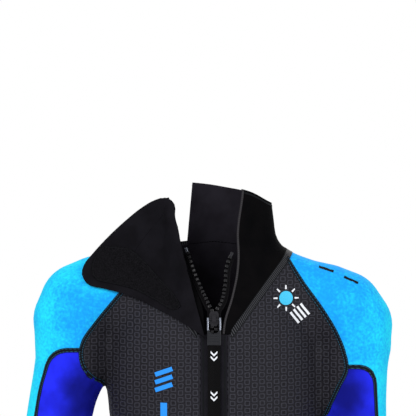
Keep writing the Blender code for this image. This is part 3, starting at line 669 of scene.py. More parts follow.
class Shader:
    """A Principled material and short ways to add nodes to it."""

    def __init__(self, name, color, roughness, metallic=0.0, sheen=0.0, gloss=0.12):
        self.mat = bpy.data.materials.new(name)
        self.mat.use_nodes = True
        self.tree = self.mat.node_tree
        self.main = self.tree.nodes["Principled BSDF"]
        settings = {
            "Base Color": (*linear(*color), 1.0), "Roughness": roughness, "Metallic": metallic,
            "Sheen Weight": sheen, "Sheen Roughness": 0.4, "Specular IOR Level": 0.5 if metallic else gloss}
        for key, value in settings.items():
            self.main.inputs[key].default_value = value
        self.place = self.node("ShaderNodeTexCoord").outputs["Object"]
        split = self.node("ShaderNodeSeparateXYZ", self.place)
        self.x, self.y, self.z = split.outputs

    def node(self, kind, *inputs, **settings):
        made = self.tree.nodes.new(kind)
        for key, value in settings.items():
            setattr(made, key, value)
        for socket, value in zip(made.inputs, inputs):
            self.put(socket, value)
        return made

    def put(self, socket, value):
        if isinstance(value, bpy.types.NodeSocket):
            self.tree.links.new(value, socket)
        elif value is not None:
            socket.default_value = value

    def math(self, operation, a, b=None, c=None):
        return self.node("ShaderNodeMath", a, b, c, operation=operation).outputs[0]

    def add(self, a, b):
        return self.math("ADD", a, b)

    def sub(self, a, b):
        return self.math("SUBTRACT", a, b)

    def mul(self, a, b):
        return self.math("MULTIPLY", a, b)

    def absolute(self, a):
        return self.math("ABSOLUTE", a)

    def wave(self, value, pitch):
        return self.math("SINE", self.mul(value, 2 * math.pi / pitch))

    def jitter(self, scale, detail, depth):
        """Noise about zero, from minus half the depth to plus half."""
        return self.mul(self.sub(self.noise(scale, detail), 0.5), depth)

    def ramp(self, value, low, high):
        """Zero below low and one above high, smooth between."""
        made = self.node("ShaderNodeMapRange", value, low, high, interpolation_type="SMOOTHSTEP")
        return made.outputs[0]

    def noise(self, scale, detail=2.0, stretch=(1.0, 1.0, 1.0)):
        spread = self.node("ShaderNodeVectorMath", self.place, stretch, operation="MULTIPLY")
        made = self.node("ShaderNodeTexNoise", spread.outputs[0])
        made.inputs["Scale"].default_value = scale
        made.inputs["Detail"].default_value = detail
        return made.outputs["Fac"]

    def mix(self, share, a, b):
        """Colour a where share is 0 and colour b where it is 1; a colour is display numbers or a socket."""
        made = self.tree.nodes.new("ShaderNodeMix")
        made.data_type = "RGBA"
        self.put(made.inputs[0], share)
        for socket, value in ((made.inputs[6], a), (made.inputs[7], b)):
            self.put(socket, value if isinstance(value, bpy.types.NodeSocket) else (*linear(*value), 1.0))
        return made.outputs[2]

    def color(self, value):
        self.put(self.main.inputs["Base Color"], value)

    def bump(self, height, distance, strength=1.0):
        made = self.tree.nodes.new("ShaderNodeBump")
        made.inputs["Strength"].default_value = strength
        made.inputs["Distance"].default_value = distance
        self.put(made.inputs["Height"], height)
        before = self.main.inputs["Normal"].links
        if before:
            self.put(made.inputs["Normal"], before[0].from_socket)
        self.put(self.main.inputs["Normal"], made.outputs[0])

    def knit(self, depth=0.00012):
        """The jersey face: rows of fine loops."""
        rows = self.wave(self.z, 0.0011)
        loops = self.wave(self.x, 0.0009)
        self.bump(self.mul(rows, loops), depth, 0.35)
        self.bump(self.noise(60.0, 3.0), 0.0008, 0.25)

    def attribute(self, name):
        return self.node("ShaderNodeAttribute", attribute_name=name).outputs["Fac"]


def cloth(name, color, shade, sheen=0.0, gloss=0.06):
    made = Shader(name, color, 0.85, sheen=sheen, gloss=gloss)
    made.color(made.mix(made.ramp(made.noise(35.0, 4.0), 0.3, 0.7), color, shade))
    made.knit()
    return made.mat


def azure_cloth():
    made = Shader("azure", AZURE, 0.85, sheen=0.02, gloss=0.05)
    away = made.absolute(made.x)
    # Painted highlight: the azure turns cyan towards the outer arms, at the top of the right shoulder and
    # lower down the sleeve; the noise added after it is random mottle in the same mix.
    outer = made.mul(made.ramp(away, 0.190, 0.245), 0.40)
    low = made.mul(made.ramp(made.z, -0.080, -0.180), 0.15)
    near = made.mul(made.ramp(made.x, -0.080, -0.140), made.ramp(made.z, -0.070, -0.030))
    share = made.add(made.math("MAXIMUM", outer, made.mul(near, 0.35)), low)
    blotch = made.jitter(24.0, 3.0, 0.9)
    grain = made.jitter(260.0, 3.0, 1.1)
    blotch = made.add(blotch, grain)
    share = made.add(made.add(share, blotch), 0.20)
    made.color(made.mix(made.ramp(share, 0.0, 1.0), AZURE, CYAN_HIGHLIGHT_AND_MOTTLE))
    made.knit(0.00016)
    return made.mat


def royal_cloth():
    made = Shader("royal", ROYAL, 0.85, sheen=0.0, gloss=0.05)
    base = made.mix(made.ramp(made.noise(30.0, 4.0), 0.35, 0.7), ROYAL, ROYAL_SHADE)
    # Painted shade: the royal darkens towards a point under each armpit, where its folds lie in shade.
    aside = made.sub(made.absolute(made.x), 0.182)
    below = made.mul(made.add(made.z, 0.200), 0.6)
    squares = made.add(made.math("POWER", aside, 2.0), made.math("POWER", below, 2.0))
    distance = made.math("SQRT", squares)
    shade_reach = made.add(distance, made.jitter(45.0, 3.0, 0.02))
    dark = made.mul(made.ramp(shade_reach, 0.045, 0.008), 0.85)
    made.color(made.mix(dark, base, ROYAL_ARMPIT_SHADE))
    made.knit()
    return made.mat


def embossed_cloth():
    """Staggered columns of hollow squares pressed into the face."""
    made = Shader("embossed", CHEST, 0.6, sheen=0.0, gloss=0.10)
    wobble = made.jitter(70.0, 1.0, 0.0022)
    u = made.math("DIVIDE", made.add(made.x, wobble), 0.0100)
    column_number = made.math("FLOOR", u)
    odd = made.math("FLOORED_MODULO", column_number, 2.0)
    sway = made.jitter(55.0, 1.0, 0.0024)
    down = made.math("DIVIDE", made.add(made.z, sway), 0.0095)
    v = made.add(down, made.mul(odd, 0.5))
    a = made.absolute(made.sub(made.math("FRACT", u), 0.5))
    b = made.absolute(made.sub(made.math("FRACT", v), 0.5))
    d = made.math("POWER", made.add(made.math("POWER", a, 5.0), made.math("POWER", b, 5.0)), 0.2)
    line = made.absolute(made.sub(d, 0.315))
    ring = made.ramp(line, 0.115, 0.035)
    fleck = made.ramp(made.noise(420.0, 2.0), 0.35, 0.75)
    base = made.mix(fleck, CHEST, CHEST_SHADE)
    made.color(made.mix(made.mul(ring, 0.6), base, CHEST_LINE))
    made.bump(ring, 0.0006, 0.9)
    made.bump(made.noise(500.0, 3.0), 0.0003, 0.4)
    return made.mat


def webbing_cloth():
    made = Shader("webbing", STRAP, 0.6, sheen=0.02, gloss=0.04)
    across = made.absolute(made.x)
    slant = made.add(made.z, made.mul(across, 0.8))
    twill = made.wave(slant, 0.0022)
    made.bump(twill, 0.0003, 0.6)
    made.color(made.mix(made.ramp(twill, -1.0, 1.0), STRAP_SHADE, STRAP))
    return made.mat


def hook_cloth():
    made = Shader("hooks", HOOK, 0.95, gloss=0.02)
    made.bump(made.noise(900.0, 2.0), 0.0007, 0.9)
    made.color(made.mix(made.ramp(made.noise(900.0, 2.0), 0.35, 0.65), (7, 7, 8), (24, 23, 26)))
    return made.mat


def seam_cloth(name, thread, base=BAND, lines=(0.0019,), pitch=0.0030, ribs=0.0):
    """A flat seam: threads beside its middle, or ribs right across it."""
    made = Shader(name, base, 0.7, sheen=0.02)
    across = made.absolute(made.attribute("across"))
    along = made.attribute("along")
    wave = made.wave(along, pitch)
    stitch = made.ramp(wave, -0.6, -0.1)
    if ribs:
        share = made.mul(made.ramp(wave, 0.0, 0.7), made.ramp(across, ribs, ribs - 0.0006))
    else:
        share = 0.0
        for place in lines:
            off = made.absolute(made.sub(across, place))
            share = made.math("MAXIMUM", share, made.ramp(off, 0.00055, 0.00025))
        share = made.mul(share, stitch)
    made.color(made.mix(share, base, thread))
    made.bump(share, 0.0004, 0.8)
    return made.mat


def plain(name, color, roughness, metallic=0.0, grain=0.0, gloss=0.3):
    made = Shader(name, color, roughness, metallic, gloss=gloss)
    if grain:
        made.bump(made.noise(700.0, 3.0), 0.0002, grain)
    return made.mat


def fill_looks():
    """Makes every material, under the key that pieces ask for it by."""
    dull_metal = Shader("dark_metal", (38, 37, 41), 0.36, 0.6)
    dull_metal.bump(dull_metal.noise(400.0, 3.0), 0.0001, 0.3)
    MATS.update({
        "chest": embossed_cloth(), "azure": azure_cloth(), "royal": royal_cloth(),
        "black": cloth("black_jersey", (24, 23, 27), (17, 16, 19)),
        "facing": cloth("smooth_strip", (30, 29, 34), (23, 22, 27)),
        "stand": cloth("collar_plush", (10, 9, 10), (6, 6, 7), 0.0, 0.02),
        "flap": cloth("flap_plush", (22, 21, 25), (16, 15, 18), 0.0, 0.02),
        "band": seam_cloth("raglan_seam", TEAL), "seam": seam_cloth("flatlock", (48, 47, 52)),
        "ribbed": seam_cloth("ribbed_seam", (62, 62, 66), ribs=0.0040, pitch=0.0031),
        "binding": seam_cloth("binding", (58, 56, 58), (40, 38, 40), (0.0004,), 0.0026),
        "knee": plain("knee_print", (26, 26, 29), 0.55, 0.0, 0.6), "hooks": hook_cloth(),
        "webbing": webbing_cloth(), "tape": cloth("zip_tape", (15, 14, 16), (11, 10, 12), 0.0),
        "teeth": plain("zip_teeth", (20, 19, 21), 0.25), "metal": dull_metal.mat,
        "bright": plain("bright_metal", (165, 170, 182), 0.22, 0.95),
        "grip": plain("puller_grip", (28, 29, 33), 0.35, 0.0, 0.2),
        "blue_mark": plain("blue_mark", (30, 140, 235), 0.5),
        "white_mark": plain("white_mark", (225, 228, 232), 0.5),
        "cyan_mark": plain("cyan_mark", (60, 185, 225), 0.5),
        "lining": cloth("lining", (34, 32, 38), (27, 25, 30), 0.0, 0.02),
    })


def finish_piece(name, bm, look, nodes=(), body="suit", soften=True):
    """Puts a mesh in the scene, smooth but for its sharp edges, riding on a body of the part."""
    bm.normal_update()
    for face in bm.faces:
        face.smooth = soften
    for edge in bm.edges:
        if edge.is_manifold and edge.calc_face_angle(0.0) > SHARP:
            edge.smooth = False
    thing = add_object(name, mesh_of(bm, name))
    thing.data.materials.append(MATS[look])
    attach(thing, body)
    if nodes:
        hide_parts(*nodes)
    return thing


def hard_piece(name, bm, look, nodes=(), body="suit"):
    """A piece with flat faces, such as the zip's."""
    return finish_piece(name, bm, look, nodes, body, False)


def panel(node, bm, look, hem=None):
    """One neoprene panel in place of its plain CAD node, with a dark lining inside."""
    thicken(bm, FABRIC)
    for v in bm.verts:
        if hem is not None and abs(v.co.z - hem) < FABRIC / 2:
            v.co.z = hem
    bm.normal_update()
    outward = outward_of(bm)
    for face in bm.faces:
        face.material_index = int(face.normal.dot(face.verts[0][outward]) < 0.4)
    thing = finish_piece(f"look_{node}", bm, look, (node,))
    thing.data.materials.append(MATS["lining"])


def fold(bm, centre, run, size, pitch, height):
    """Creases in a sheet: a few parallel ridges fading out round their centre."""
    outward = outward_of(bm)
    run = Vector(run).normalized()
    for v in bm.verts:
        off = v.co - Vector(centre)
        fade = math.exp(-(off.length / size) ** 2)
        v.co += v[outward] * height * fade * math.sin(2 * math.pi * off.dot(run) / pitch)


def tangent_distance(field, p):
    """Distance along the body form to the line where a field changes sign."""
    g = gradient(field, p)
    n = unit_normals(body_field, p)
    g -= (g * n).sum(1)[:, None] * n
    return field(p) / np.maximum(norm(g, axis=1), 0.25)


def set_seam(bm, across, along, lift):
    """Gives a strip the coordinates its stitches are drawn by, and raises it."""
    layers = bm.verts.layers
    across_layer = layers.float.new("across")
    along_layer = layers.float.new("along")
    outward = outward_of(bm)
    for v, a, b in zip(bm.verts, across, along):
        v[across_layer] = a
        v[along_layer] = b
        v.co += v[outward] * lift


def seam_strip(name, sheet, field, half=0.0028, look="seam", trims=(), lift=0.0007):
    """A flat seam: the strip of a sheet within half of a seam line, standing just proud of it."""
    bm = sheet.copy()
    values = field(points_of(bm))
    far = [v for v, value in zip(bm.verts, values) if abs(value) > 0.030]
    bmesh.ops.delete(bm, geom=far, context="VERTS")
    edges = (lambda p: half - tangent_distance(field, p), lambda p: half + tangent_distance(field, p))
    for cut in (*trims, *edges):
        if bm.faces:
            clip(bm, cut(points_of(bm)))
    if not bm.faces:
        bm.free()
        return
    p = points_of(bm)
    way = np.cross(gradient(field, p), unit_normals(body_field, p))
    way /= np.maximum(norm(way, axis=1), 1e-6)[:, None]
    main = np.abs(way).mean(axis=0)
    travel = (p * main).sum(1) / max(norm(main) ** 2, 0.5)
    set_seam(bm, tangent_distance(field, p), travel, lift)
    thicken(bm, lift + 0.0002)
    finish_piece(name, bm, look)


def stitch_line(name, sheet, field, half=0.0012):
    """A fine flat row of stitches."""
    seam_strip(name, sheet, field, half, lift=0.0003)


def right_of(x):
    return lambda p: x - p[:, 0]


def round_neck(p, side):
    """Positive on one half of the neck, but for the open throat in front."""
    across = side * p[:, 0]
    return np.maximum(across - NECK_SEAM_X, np.minimum(p[:, 1], across))


def collar_pieces(collar):
    stand, rest = part_by(collar, throat_side)
    turned = kept_part(kept_part(rest, turned_side), fold_top)
    stand, binding = part_by(kept_part(stand, collar_top), past_binding)
    p = points_of(binding)
    set_seam(binding, throat_side(p) - BINDING / 2, p[:, 2], 0.0006)
    panel("collar_binding", binding, "binding")
    panel("collar_turned", turned, "stand")
    stitch_line("collar_top_stitch", stand, lambda p: collar_top(p) - 0.0045, 0.0011)
    panel("collar_stand", stand, "stand")


def arm_pieces(arm, label, side):
    low, x_low = ARMPIT[side]
    upper, lower = part_by(arm, above(ELBOW_SEAM_Z))
    forearm, rest = part_by(lower, above(WRIST_HEM_Z + WRIST_CUFF))
    cuff = kept_part(rest, above(WRIST_HEM_Z))
    seam_strip(f"elbow_seam_{label}", arm, above(ELBOW_SEAM_Z), look="band")
    seam_strip(f"wrist_seam_{label}", arm, above(WRIST_HEM_Z + WRIST_CUFF))
    stitch_line(f"wrist_hem_{label}", cuff, above(WRIST_HEM_Z + HEM_STITCH))
    seam_strip(f"underarm_seam_{label}", upper, lambda p: in_underarm(p, side), 0.0031, "band")
    under, outer = part_by(upper, lambda p: in_underarm(p, side))
    fold(under, (side * (x_low + 0.030), -0.038, low + 0.012), (side * 0.8, 0.0, 0.7), 0.030, 0.016, 0.0016)
    fold(under, (side * (x_low + 0.045), -0.042, low - 0.035), (side * 0.5, 0.0, 0.9), 0.040, 0.026, 0.0014)
    fold(outer, (side * (x_low + 0.050), -0.040, low - 0.150), (side * 0.3, 0.0, 1.0), 0.060, 0.030, 0.0012)
    fold(forearm, (side * 0.23, -0.045, -0.400), (0.0, 0.0, 1.0), 0.045, 0.022, 0.0012)
    panel(f"underarm_{label}", under, "royal")
    panel(f"sleeve_{label}", outer, "azure")
    panel(f"forearm_{label}", forearm, "black")
    panel(f"wrist_cuff_{label}", cuff, "black", WRIST_HEM_Z)


def leg_pieces(leg, label, side):
    long, rest = part_by(leg, above(ANKLE_HEM_Z + ANKLE_CUFF))
    cuff = kept_part(rest, above(ANKLE_HEM_Z))
    seam_strip(f"ankle_seam_{label}", leg, above(ANKLE_HEM_Z + ANKLE_CUFF))
    stitch_line(f"ankle_hem_{label}", cuff, above(ANKLE_HEM_Z + HEM_STITCH))
    front, back = part_by(long, in_front)
    seam_strip(f"knee_top_seam_{label}", front, above(KNEE_TOP_Z))
    seam_strip(f"knee_low_seam_{label}", front, above(KNEE_BOTTOM_Z))
    seam_strip(f"calf_seam_{label}", back, above(CALF_TOP_Z), look="band")
    thigh, rest = part_by(front, above(KNEE_TOP_Z))
    knee, shin = part_by(rest, above(KNEE_BOTTOM_Z))
    hamstring, calf = part_by(back, above(CALF_TOP_Z))
    fold(hamstring, (side * 0.10, 0.060, -0.985), (0.0, 0.0, 1.0), 0.040, 0.024, 0.0014)
    ridges(knee, side)
    for name, sheet, look in (("thigh_front", thigh, "black"), ("thigh_back", hamstring, "black"),
                              ("knee_pad", knee, "knee"), ("shin", shin, "black"), ("calf", calf, "royal")):
        panel(f"{name}_{label}", sheet, look)
    panel(f"ankle_cuff_{label}", cuff, "black", ANKLE_HEM_Z)


def ridges(knee, side):
    """The knee pad's rows of raised bars."""
    outward = outward_of(knee)
    for v in knee.verts:
        wave = max(0.0, math.sin(2 * math.pi * v.co.z / 0.018))
        inside = smooth_step(0.052, 0.040, abs(v.co.x - side * 0.1005))
        ends = smooth_step(KNEE_BOTTOM_Z, KNEE_BOTTOM_Z + 0.020, v.co.z)
        ends *= smooth_step(KNEE_TOP_Z, KNEE_TOP_Z - 0.020, v.co.z)
        v.co += v[outward] * 0.0012 * wave * float(inside * ends)


def torso_pieces(torso):
    sides, rest = part_by(torso, in_side)
    for label, half in (("left", left_of(0.0)), ("right", right_of(0.0))):
        seam_strip(f"side_seam_{label}", torso, in_side, 0.0026, "band", (half,))
    front, back = part_by(rest, in_front)
    seam_strip("waist_seam", back, above(WAIST_SEAM_Z))
    upper, lower = part_by(back, above(WAIST_SEAM_Z))
    side_left, side_right = part_by(sides, left_half)
    chest_left, rest = part_by(front, left_of(FACING_OUT))
    band, chest_right = part_by(rest, left_of(-FACING_OUT))
    facings, lower_front = part_by(band, above(ZIP_BOTTOM_Z - 0.012))
    facing_left, rest = part_by(facings, left_of(FACING_IN))
    facing_right = kept_part(rest, right_of(-FACING_IN))
    for label, sheet, line in (("left", facing_left, FACING_LINE), ("right", facing_right, -FACING_LINE)):
        stitch_line(f"facing_stitch_{label}", sheet, left_of(line), 0.0011)
    for name, sheet, look in (
            ("back_upper", upper, "chest"), ("back_lower", lower, "black"),
            ("lower_front", lower_front, "black"),
            ("side_left", side_left, "royal"), ("side_right", side_right, "royal"),
            ("chest_left", chest_left, "chest"), ("chest_right", chest_right, "chest"),
            ("zip_facing_left", facing_left, "facing"), ("zip_facing_right", facing_right, "facing")):
        panel(name, sheet, look)


def shell_pieces(form):
    for label, side in SIDES:
        half = (lambda p: round_neck(p, side),)
        seam_strip(f"neck_seam_{label}", form, above_neck_seam, 0.0046, "ribbed", half)
    collar, body = part_by(form, above_neck_seam)
    for label, side in SIDES:
        seam_strip(f"raglan_seam_{label}", body, lambda p: in_sleeve(p, side), 0.0031, "band")
    left_arm, body = part_by(body, lambda p: in_sleeve(p, 1))
    right_arm, body = part_by(body, lambda p: in_sleeve(p, -1))
    seam_strip("hip_seam", body, in_leg)
    legs, torso = part_by(body, in_leg)
    left_leg, right_leg = part_by(legs, left_half)
    collar_pieces(collar)
    arm_pieces(left_arm, "left", 1)
    arm_pieces(right_arm, "right", -1)
    leg_pieces(left_leg, "left", 1)
    leg_pieces(right_leg, "right", -1)
    torso_pieces(torso)


def front_points(x, z):
    x, z = np.asarray(x, float), np.asarray(z, float)
    return np.stack([x, front_depth(x, z), z], axis=1)


def boxes_along(points, normals, half_across, half_along, shallow, deep, shift=0.0, count=None):
    """A mesh of small rounded blocks, one at each point of a path or at the first few."""
    bm = bmesh.new()
    for i, (p, n) in list(enumerate(zip(points, normals)))[:count]:
        ahead = ahead_at(points, i)
        across = np.cross(ahead, n)
        middle = p - (shallow + deep) / 2 * n + shift * across
        for v in bmesh.ops.create_cube(bm, size=2.0)["verts"]:
            a, b, c = v.co
            aside = a * half_across * across + b * half_along * ahead
            v.co = Vector(middle + aside + c * (deep - shallow) / 2 * n)
    bevel(bm, list(bm.edges), min(half_across, half_along) * 0.35)
    turn_faces_out(bm)
    return bm


def chain_path(side):
    """The row of teeth from the bottom of the zip to the top of the open V, in even steps."""
    rows = np.asarray(TEETH_V[side], float)[::-1]
    z = np.linspace(rows[0, 0], rows[-1, 0], 16)
    x = spline(z, rows[:, 0], rows[:, 1])
    closed = [(side * TEETH_X, ZIP_Y, h) for h in np.linspace(ZIP_BOTTOM_Z, -0.084, 30)]
    rough = np.concatenate([closed, front_points(x, z)])
    run = run_of(rough)
    shift = TOOTH_PITCH / 2 if side > 0 else 0.0
    return spline(np.arange(0.002 + shift, run[-1] - 0.001, TOOTH_PITCH), run, rough)


def ribbon(points, normals, inner, outer, shallow, deep):
    """A thin bar along a path on the form, between two distances across it, in either order."""
    inner, outer = sorted((inner, outer))
    corners = ((inner, shallow), (outer, shallow), (outer, deep), (inner, deep))
    rings = []
    for i, (p, n) in enumerate(zip(points, normals)):
        across = np.cross(ahead_at(points, i), n)
        across /= norm(across)
        rings.append([p + a * across - d * n for a, d in corners])
    return tube(rings)


def zip_pieces():
    for label, side in SIDES:
        path = chain_path(side)
        normals = unit_normals(body_field, path)
        teeth = boxes_along(path, normals, 0.0024, TOOTH_PITCH * 0.29, 0.0002, 0.0030, -side * 0.0003)
        hard_piece(f"teeth_{label}", teeth, "teeth", (f"zip_teeth_{label}",))
        tape = ribbon(path, normals, -side * 0.0012, side * 0.0062, 0.0033, 0.0044)
        hard_piece(f"tape_{label}", tape, "tape", (f"zip_tape_{label}",))
        bead = ribbon(path, normals, side * 0.0020, side * 0.0036, 0.0016, 0.0033)
        hard_piece(f"tape_bead_{label}", bead, "tape")
        ahead = (path[-1] - path[-2]) / norm(path[-1] - path[-2])
        stop = np.array([path[-1] + 0.0045 * ahead, path[-1] + 0.0055 * ahead])
        metal = boxes_along(stop, normals[-2:], 0.0020, 0.0034, -0.0002, 0.0032, count=1)
        # Painted highlight: the right top stop takes the bright metal and the left one the dark, though the
        # two are the same part.
        look = "bright" if label == "right" else "metal"
        hard_piece(f"top_stop_{label}", metal, look, (f"zip_top_stop_{label}",))
    front = np.array([[0.0, -1.0, 0.0]] * 2)
    low = np.array([[0, ZIP_Y, ZIP_BOTTOM_Z - 0.003], [0, ZIP_Y, ZIP_BOTTOM_Z - 0.002]])
    stop = boxes_along(low, front, 0.0052, 0.0030, 0.0, 0.0034, count=1)
    hard_piece("bottom_stop", stop, "metal", ("zip_bottom_stop",))
    guard = np.array([[0, ZIP_Y, ZIP_BOTTOM_Z - 0.008], [0, ZIP_Y, -0.112]])
    strip = ribbon(guard, front, -0.022, 0.022, 0.0070, 0.0092)
    hard_piece("guard", strip, "stand", ("zip_guard",))


def bevel(bm, edges, offset):
    bmesh.ops.bevel(bm, geom=edges, offset=offset, segments=2, affect="EDGES", profile=0.5)


def bar(half_x, front, back, low, high, offset=0.0):
    """A block centred on the zip, with its edges bevelled if an offset is given."""
    bm = block((-half_x, front, low), (half_x, back, high))
    if offset:
        bevel(bm, list(bm.edges), offset)
    return bm


def slider_pieces():
    face = ZIP_Y - 0.0012
    inner = face + 0.0004
    top, low = ZIP_TOP_Z, ZIP_TOP_Z - SLIDER_LENGTH
    outline = ((-SLIDER_HALF, top - 0.004), (-0.0045, top), (0.0045, top), (SLIDER_HALF, top - 0.004),
               (0.0050, low + 0.003), (0.0036, low), (-0.0036, low), (-0.0050, low + 0.003))
    bm = bmesh.new()
    plate = bm.faces.new([bm.verts.new((x, face, z)) for x, z in outline])
    made = bmesh.ops.extrude_face_region(bm, geom=[plate])
    verts = new_verts(made)
    bmesh.ops.translate(bm, verts=verts, vec=(0, PLATE, 0))
    turn_faces_out(bm)
    rails = [block((min(a, b), inner, low + 0.003), (max(a, b), ZIP_Y + 0.003, top - 0.004))
             for a, b in ((side * (SLIDER_HALF - 0.0014), side * SLIDER_HALF) for label, side in SIDES)]
    wedge = bar(0.0008, inner, ZIP_Y + 0.0056, top - 0.012, top - 0.001)
    back = bar(0.0054, ZIP_Y + 0.0052, ZIP_Y + 0.0064, low + 0.002, top - 0.001)
    lug = bar(0.0026, PIVOT_Y - 0.0018, inner, PIVOT_Z - 0.0032, PIVOT_Z + 0.0052)
    bm = combine(bm, (*rails, wedge, back, lug), "UNION")
    bmesh.ops.remove_doubles(bm, verts=bm.verts, dist=0.00002)
    hard_piece("slider", bm, "metal", ("zip_slider",), "slider")
    finish_piece("slider_pin", rod((0, PIVOT_Y, PIVOT_Z), PIN_RADIUS, 0.0088), "metal", (), "slider")


def puller_pieces():
    front, back = PIVOT_Y - PULLER_THICK / 2, PIVOT_Y + PULLER_THICK / 2
    neck = PIVOT_Z - PRONG_LENGTH
    for label, side in SIDES:
        inner, outer = sorted((side * (PULLER_HALF - PRONG), side * PULLER_HALF))
        prong = block((inner, front, neck), (outer, back, PIVOT_Z))
        bevel(prong, list(prong.edges), 0.0005)
        eye = rod(((inner + outer) / 2, PIVOT_Y, PIVOT_Z), EYE_RADIUS, PRONG / 2)
        prong = combine(prong, (eye,), "UNION")
        bore = rod((0, PIVOT_Y, PIVOT_Z), PIN_RADIUS + 0.0002, 0.012)
        prong = combine(prong, (bore,), "DIFFERENCE")
        nodes = ("zip_puller",) if side > 0 else ()
        hard_piece(f"puller_prong_{label}", prong, "bright", nodes, "puller")
    grip = bar(PULLER_HALF, front, back, PIVOT_Z - PULLER_LENGTH, neck, 0.0006)
    ribs = [neck - 0.0030 - 0.0036 * k for k in range(5)]
    bars = [bar(0.0072, front - 0.0007, front + 0.0003, z - 0.0010, z + 0.0010) for z in ribs]
    grip = combine(grip, bars, "UNION")
    grip = combine(grip, (scoop(neck),), "DIFFERENCE")
    hard_piece("puller_grip", grip, "grip", (), "puller")


def scoop(z):
    """Cutter for the round bottom of the puller's window."""
    bm = bmesh.new()
    radius = PULLER_HALF - PRONG
    made = bmesh.ops.create_cone(bm, cap_ends=True, segments=32, radius1=radius, radius2=radius, depth=0.02)
    for v in made["verts"]:
        v.co = Vector((v.co.x, PIVOT_Y + v.co.z, z + 0.0025 + v.co.y))
    turn_faces_out(bm)
    return bm


def strap_pieces():
    """The pull strap: a limp flat webbing cord that hangs straight from the puller to its stitched end."""
    top = PIVOT_Z - PULLER_LENGTH - STRAP_GAP
    low = top - STRAP_LENGTH
    z = np.linspace(top, low, 40)
    edge = STRAP_HALF - 0.0006
    corners = ((-STRAP_HALF, -0.5), (-edge, -1.0), (edge, -1.0), (STRAP_HALF, -0.5),
               (STRAP_HALF, 0.5), (edge, 1.0), (-edge, 1.0), (-STRAP_HALF, 0.5))
    rings = [[(x, PIVOT_Y + s * STRAP_THICK / 2, h) for x, s in corners] for h in z]
    strap = hard_piece("strap", tube(rings), "webbing", ("pull_strap",), "strap")
    end = low - GAP
    face = PIVOT_Y - STRAP_THICK
    tab = bar(STRAP_HALF, face, PIVOT_Y + STRAP_THICK / 2, end - TAB_LENGTH, end, 0.0005)
    tab = hard_piece("strap_tab", tab, "webbing", ("strap_end_tab",), "strap")
    bar_tacks = bmesh.new()
    for h in (end - 0.004, end - TAB_LENGTH + 0.004):
        mesh = mesh_of(bar(0.0068, face - 0.0003, face + 0.0002, h - 0.0006, h + 0.0006), "tack")
        bar_tacks.from_mesh(mesh)
        bpy.data.meshes.remove(mesh)
    tacks = hard_piece("strap_tacks", bar_tacks, "facing", (), "strap")
    marks = strap_marks()


def strap_marks():
    """Printed chevrons on the strap."""
    face = PIVOT_Y - STRAP_THICK / 2 - 0.0001
    corners = ((-0.0045, 0.002), (0.0, -0.0025), (0.0045, 0.002),
               (0.0045, 0.0048), (0.0, 0.0003), (-0.0045, 0.0048))
    made = []
    for k, z in enumerate((-0.138, -0.192)):
        bm = bmesh.new()
        for drop in (0.0, 0.0065):
            bm.faces.new([bm.verts.new((x, face, z - drop + h)) for x, h in corners])
        bmesh.ops.reverse_faces(bm, faces=bm.faces)
        made.append(hard_piece(f"strap_mark_{k}", bm, "white_mark", (), "strap"))
    return made


def flap_pieces():
    top, low = FLAP_AXIS_TOP, FLAP_AXIS_BOTTOM
    outline = smooth_outline([(top[0], top[2]), *FLAP_EDGE, (low[0], low[2])], 0.006)
    sheet = outline_sheet(outline, FLAP_MESH, flap_front, FABRIC)
    finish_piece("flap", sheet, "flap", ("collar_flap",), "flap")
    outline = smooth_outline([*HOOK_PATCH, HOOK_PATCH[0]], 0.006)[:-1]
    patch = outline_sheet(outline, FLAP_MESH, lambda x, z: flap_front(x, z) - 0.0013, 0.0012)
    finish_piece("flap_hooks", patch, "hooks", ("flap_hook_patch",), "flap")
    rim = [(0.955 * (x + 0.108) - 0.108, 0.93 * (z + 0.035) - 0.035) for x, z in outline]
    surface_line("flap_hook_stitch", [*rim, rim[0]], lambda x, z: flap_front(x, z) - 0.0014, 0.0003, "seam")
    seam = smooth_outline(((-0.0700, 0.0500), (-0.0900, 0.0270), (-0.1120, -0.0040)), 0.004)
    surface_line("flap_seam", seam, flap_front, 0.0005, "flap")


def surface_line(name, outline, depth_of, radius, look):
    """A fine thread on the flap, along a line seen from the front."""
    x, z = np.array(outline, float).T
    points = np.stack([x, depth_of(x, z), z], axis=1)
    rings = []
    for i, p in enumerate(points):
        ahead = ahead_at(points, i)
        side = np.cross(ahead, (0, 1, 0))
        side /= norm(side)
        up = np.cross(side, ahead)
        turns = np.arange(0, 6.2, math.pi / 3)
        rings.append([p + radius * (math.cos(a) * side + math.sin(a) * up) for a in turns])
    finish_piece(name, tube(rings), look, (), "flap")


def decal(name, shape, centre, turn, look, spacing=0.004):
    """A thin printed shape, turned and lying on the front of the suit."""
    c, s = math.cos(turn), math.sin(turn)
    outline = [(centre[0] + x * c - z * s, centre[1] + x * s + z * c) for x, z in shape]
    sheet = outline_sheet(outline, spacing, lambda x, z: front_depth(x, z) - 0.0003, 0.0002)
    finish_piece(name, sheet, look)


def oblong(half_x, half_z):
    return ((-half_x, -half_z), (half_x, -half_z), (half_x, half_z), (-half_x, half_z))


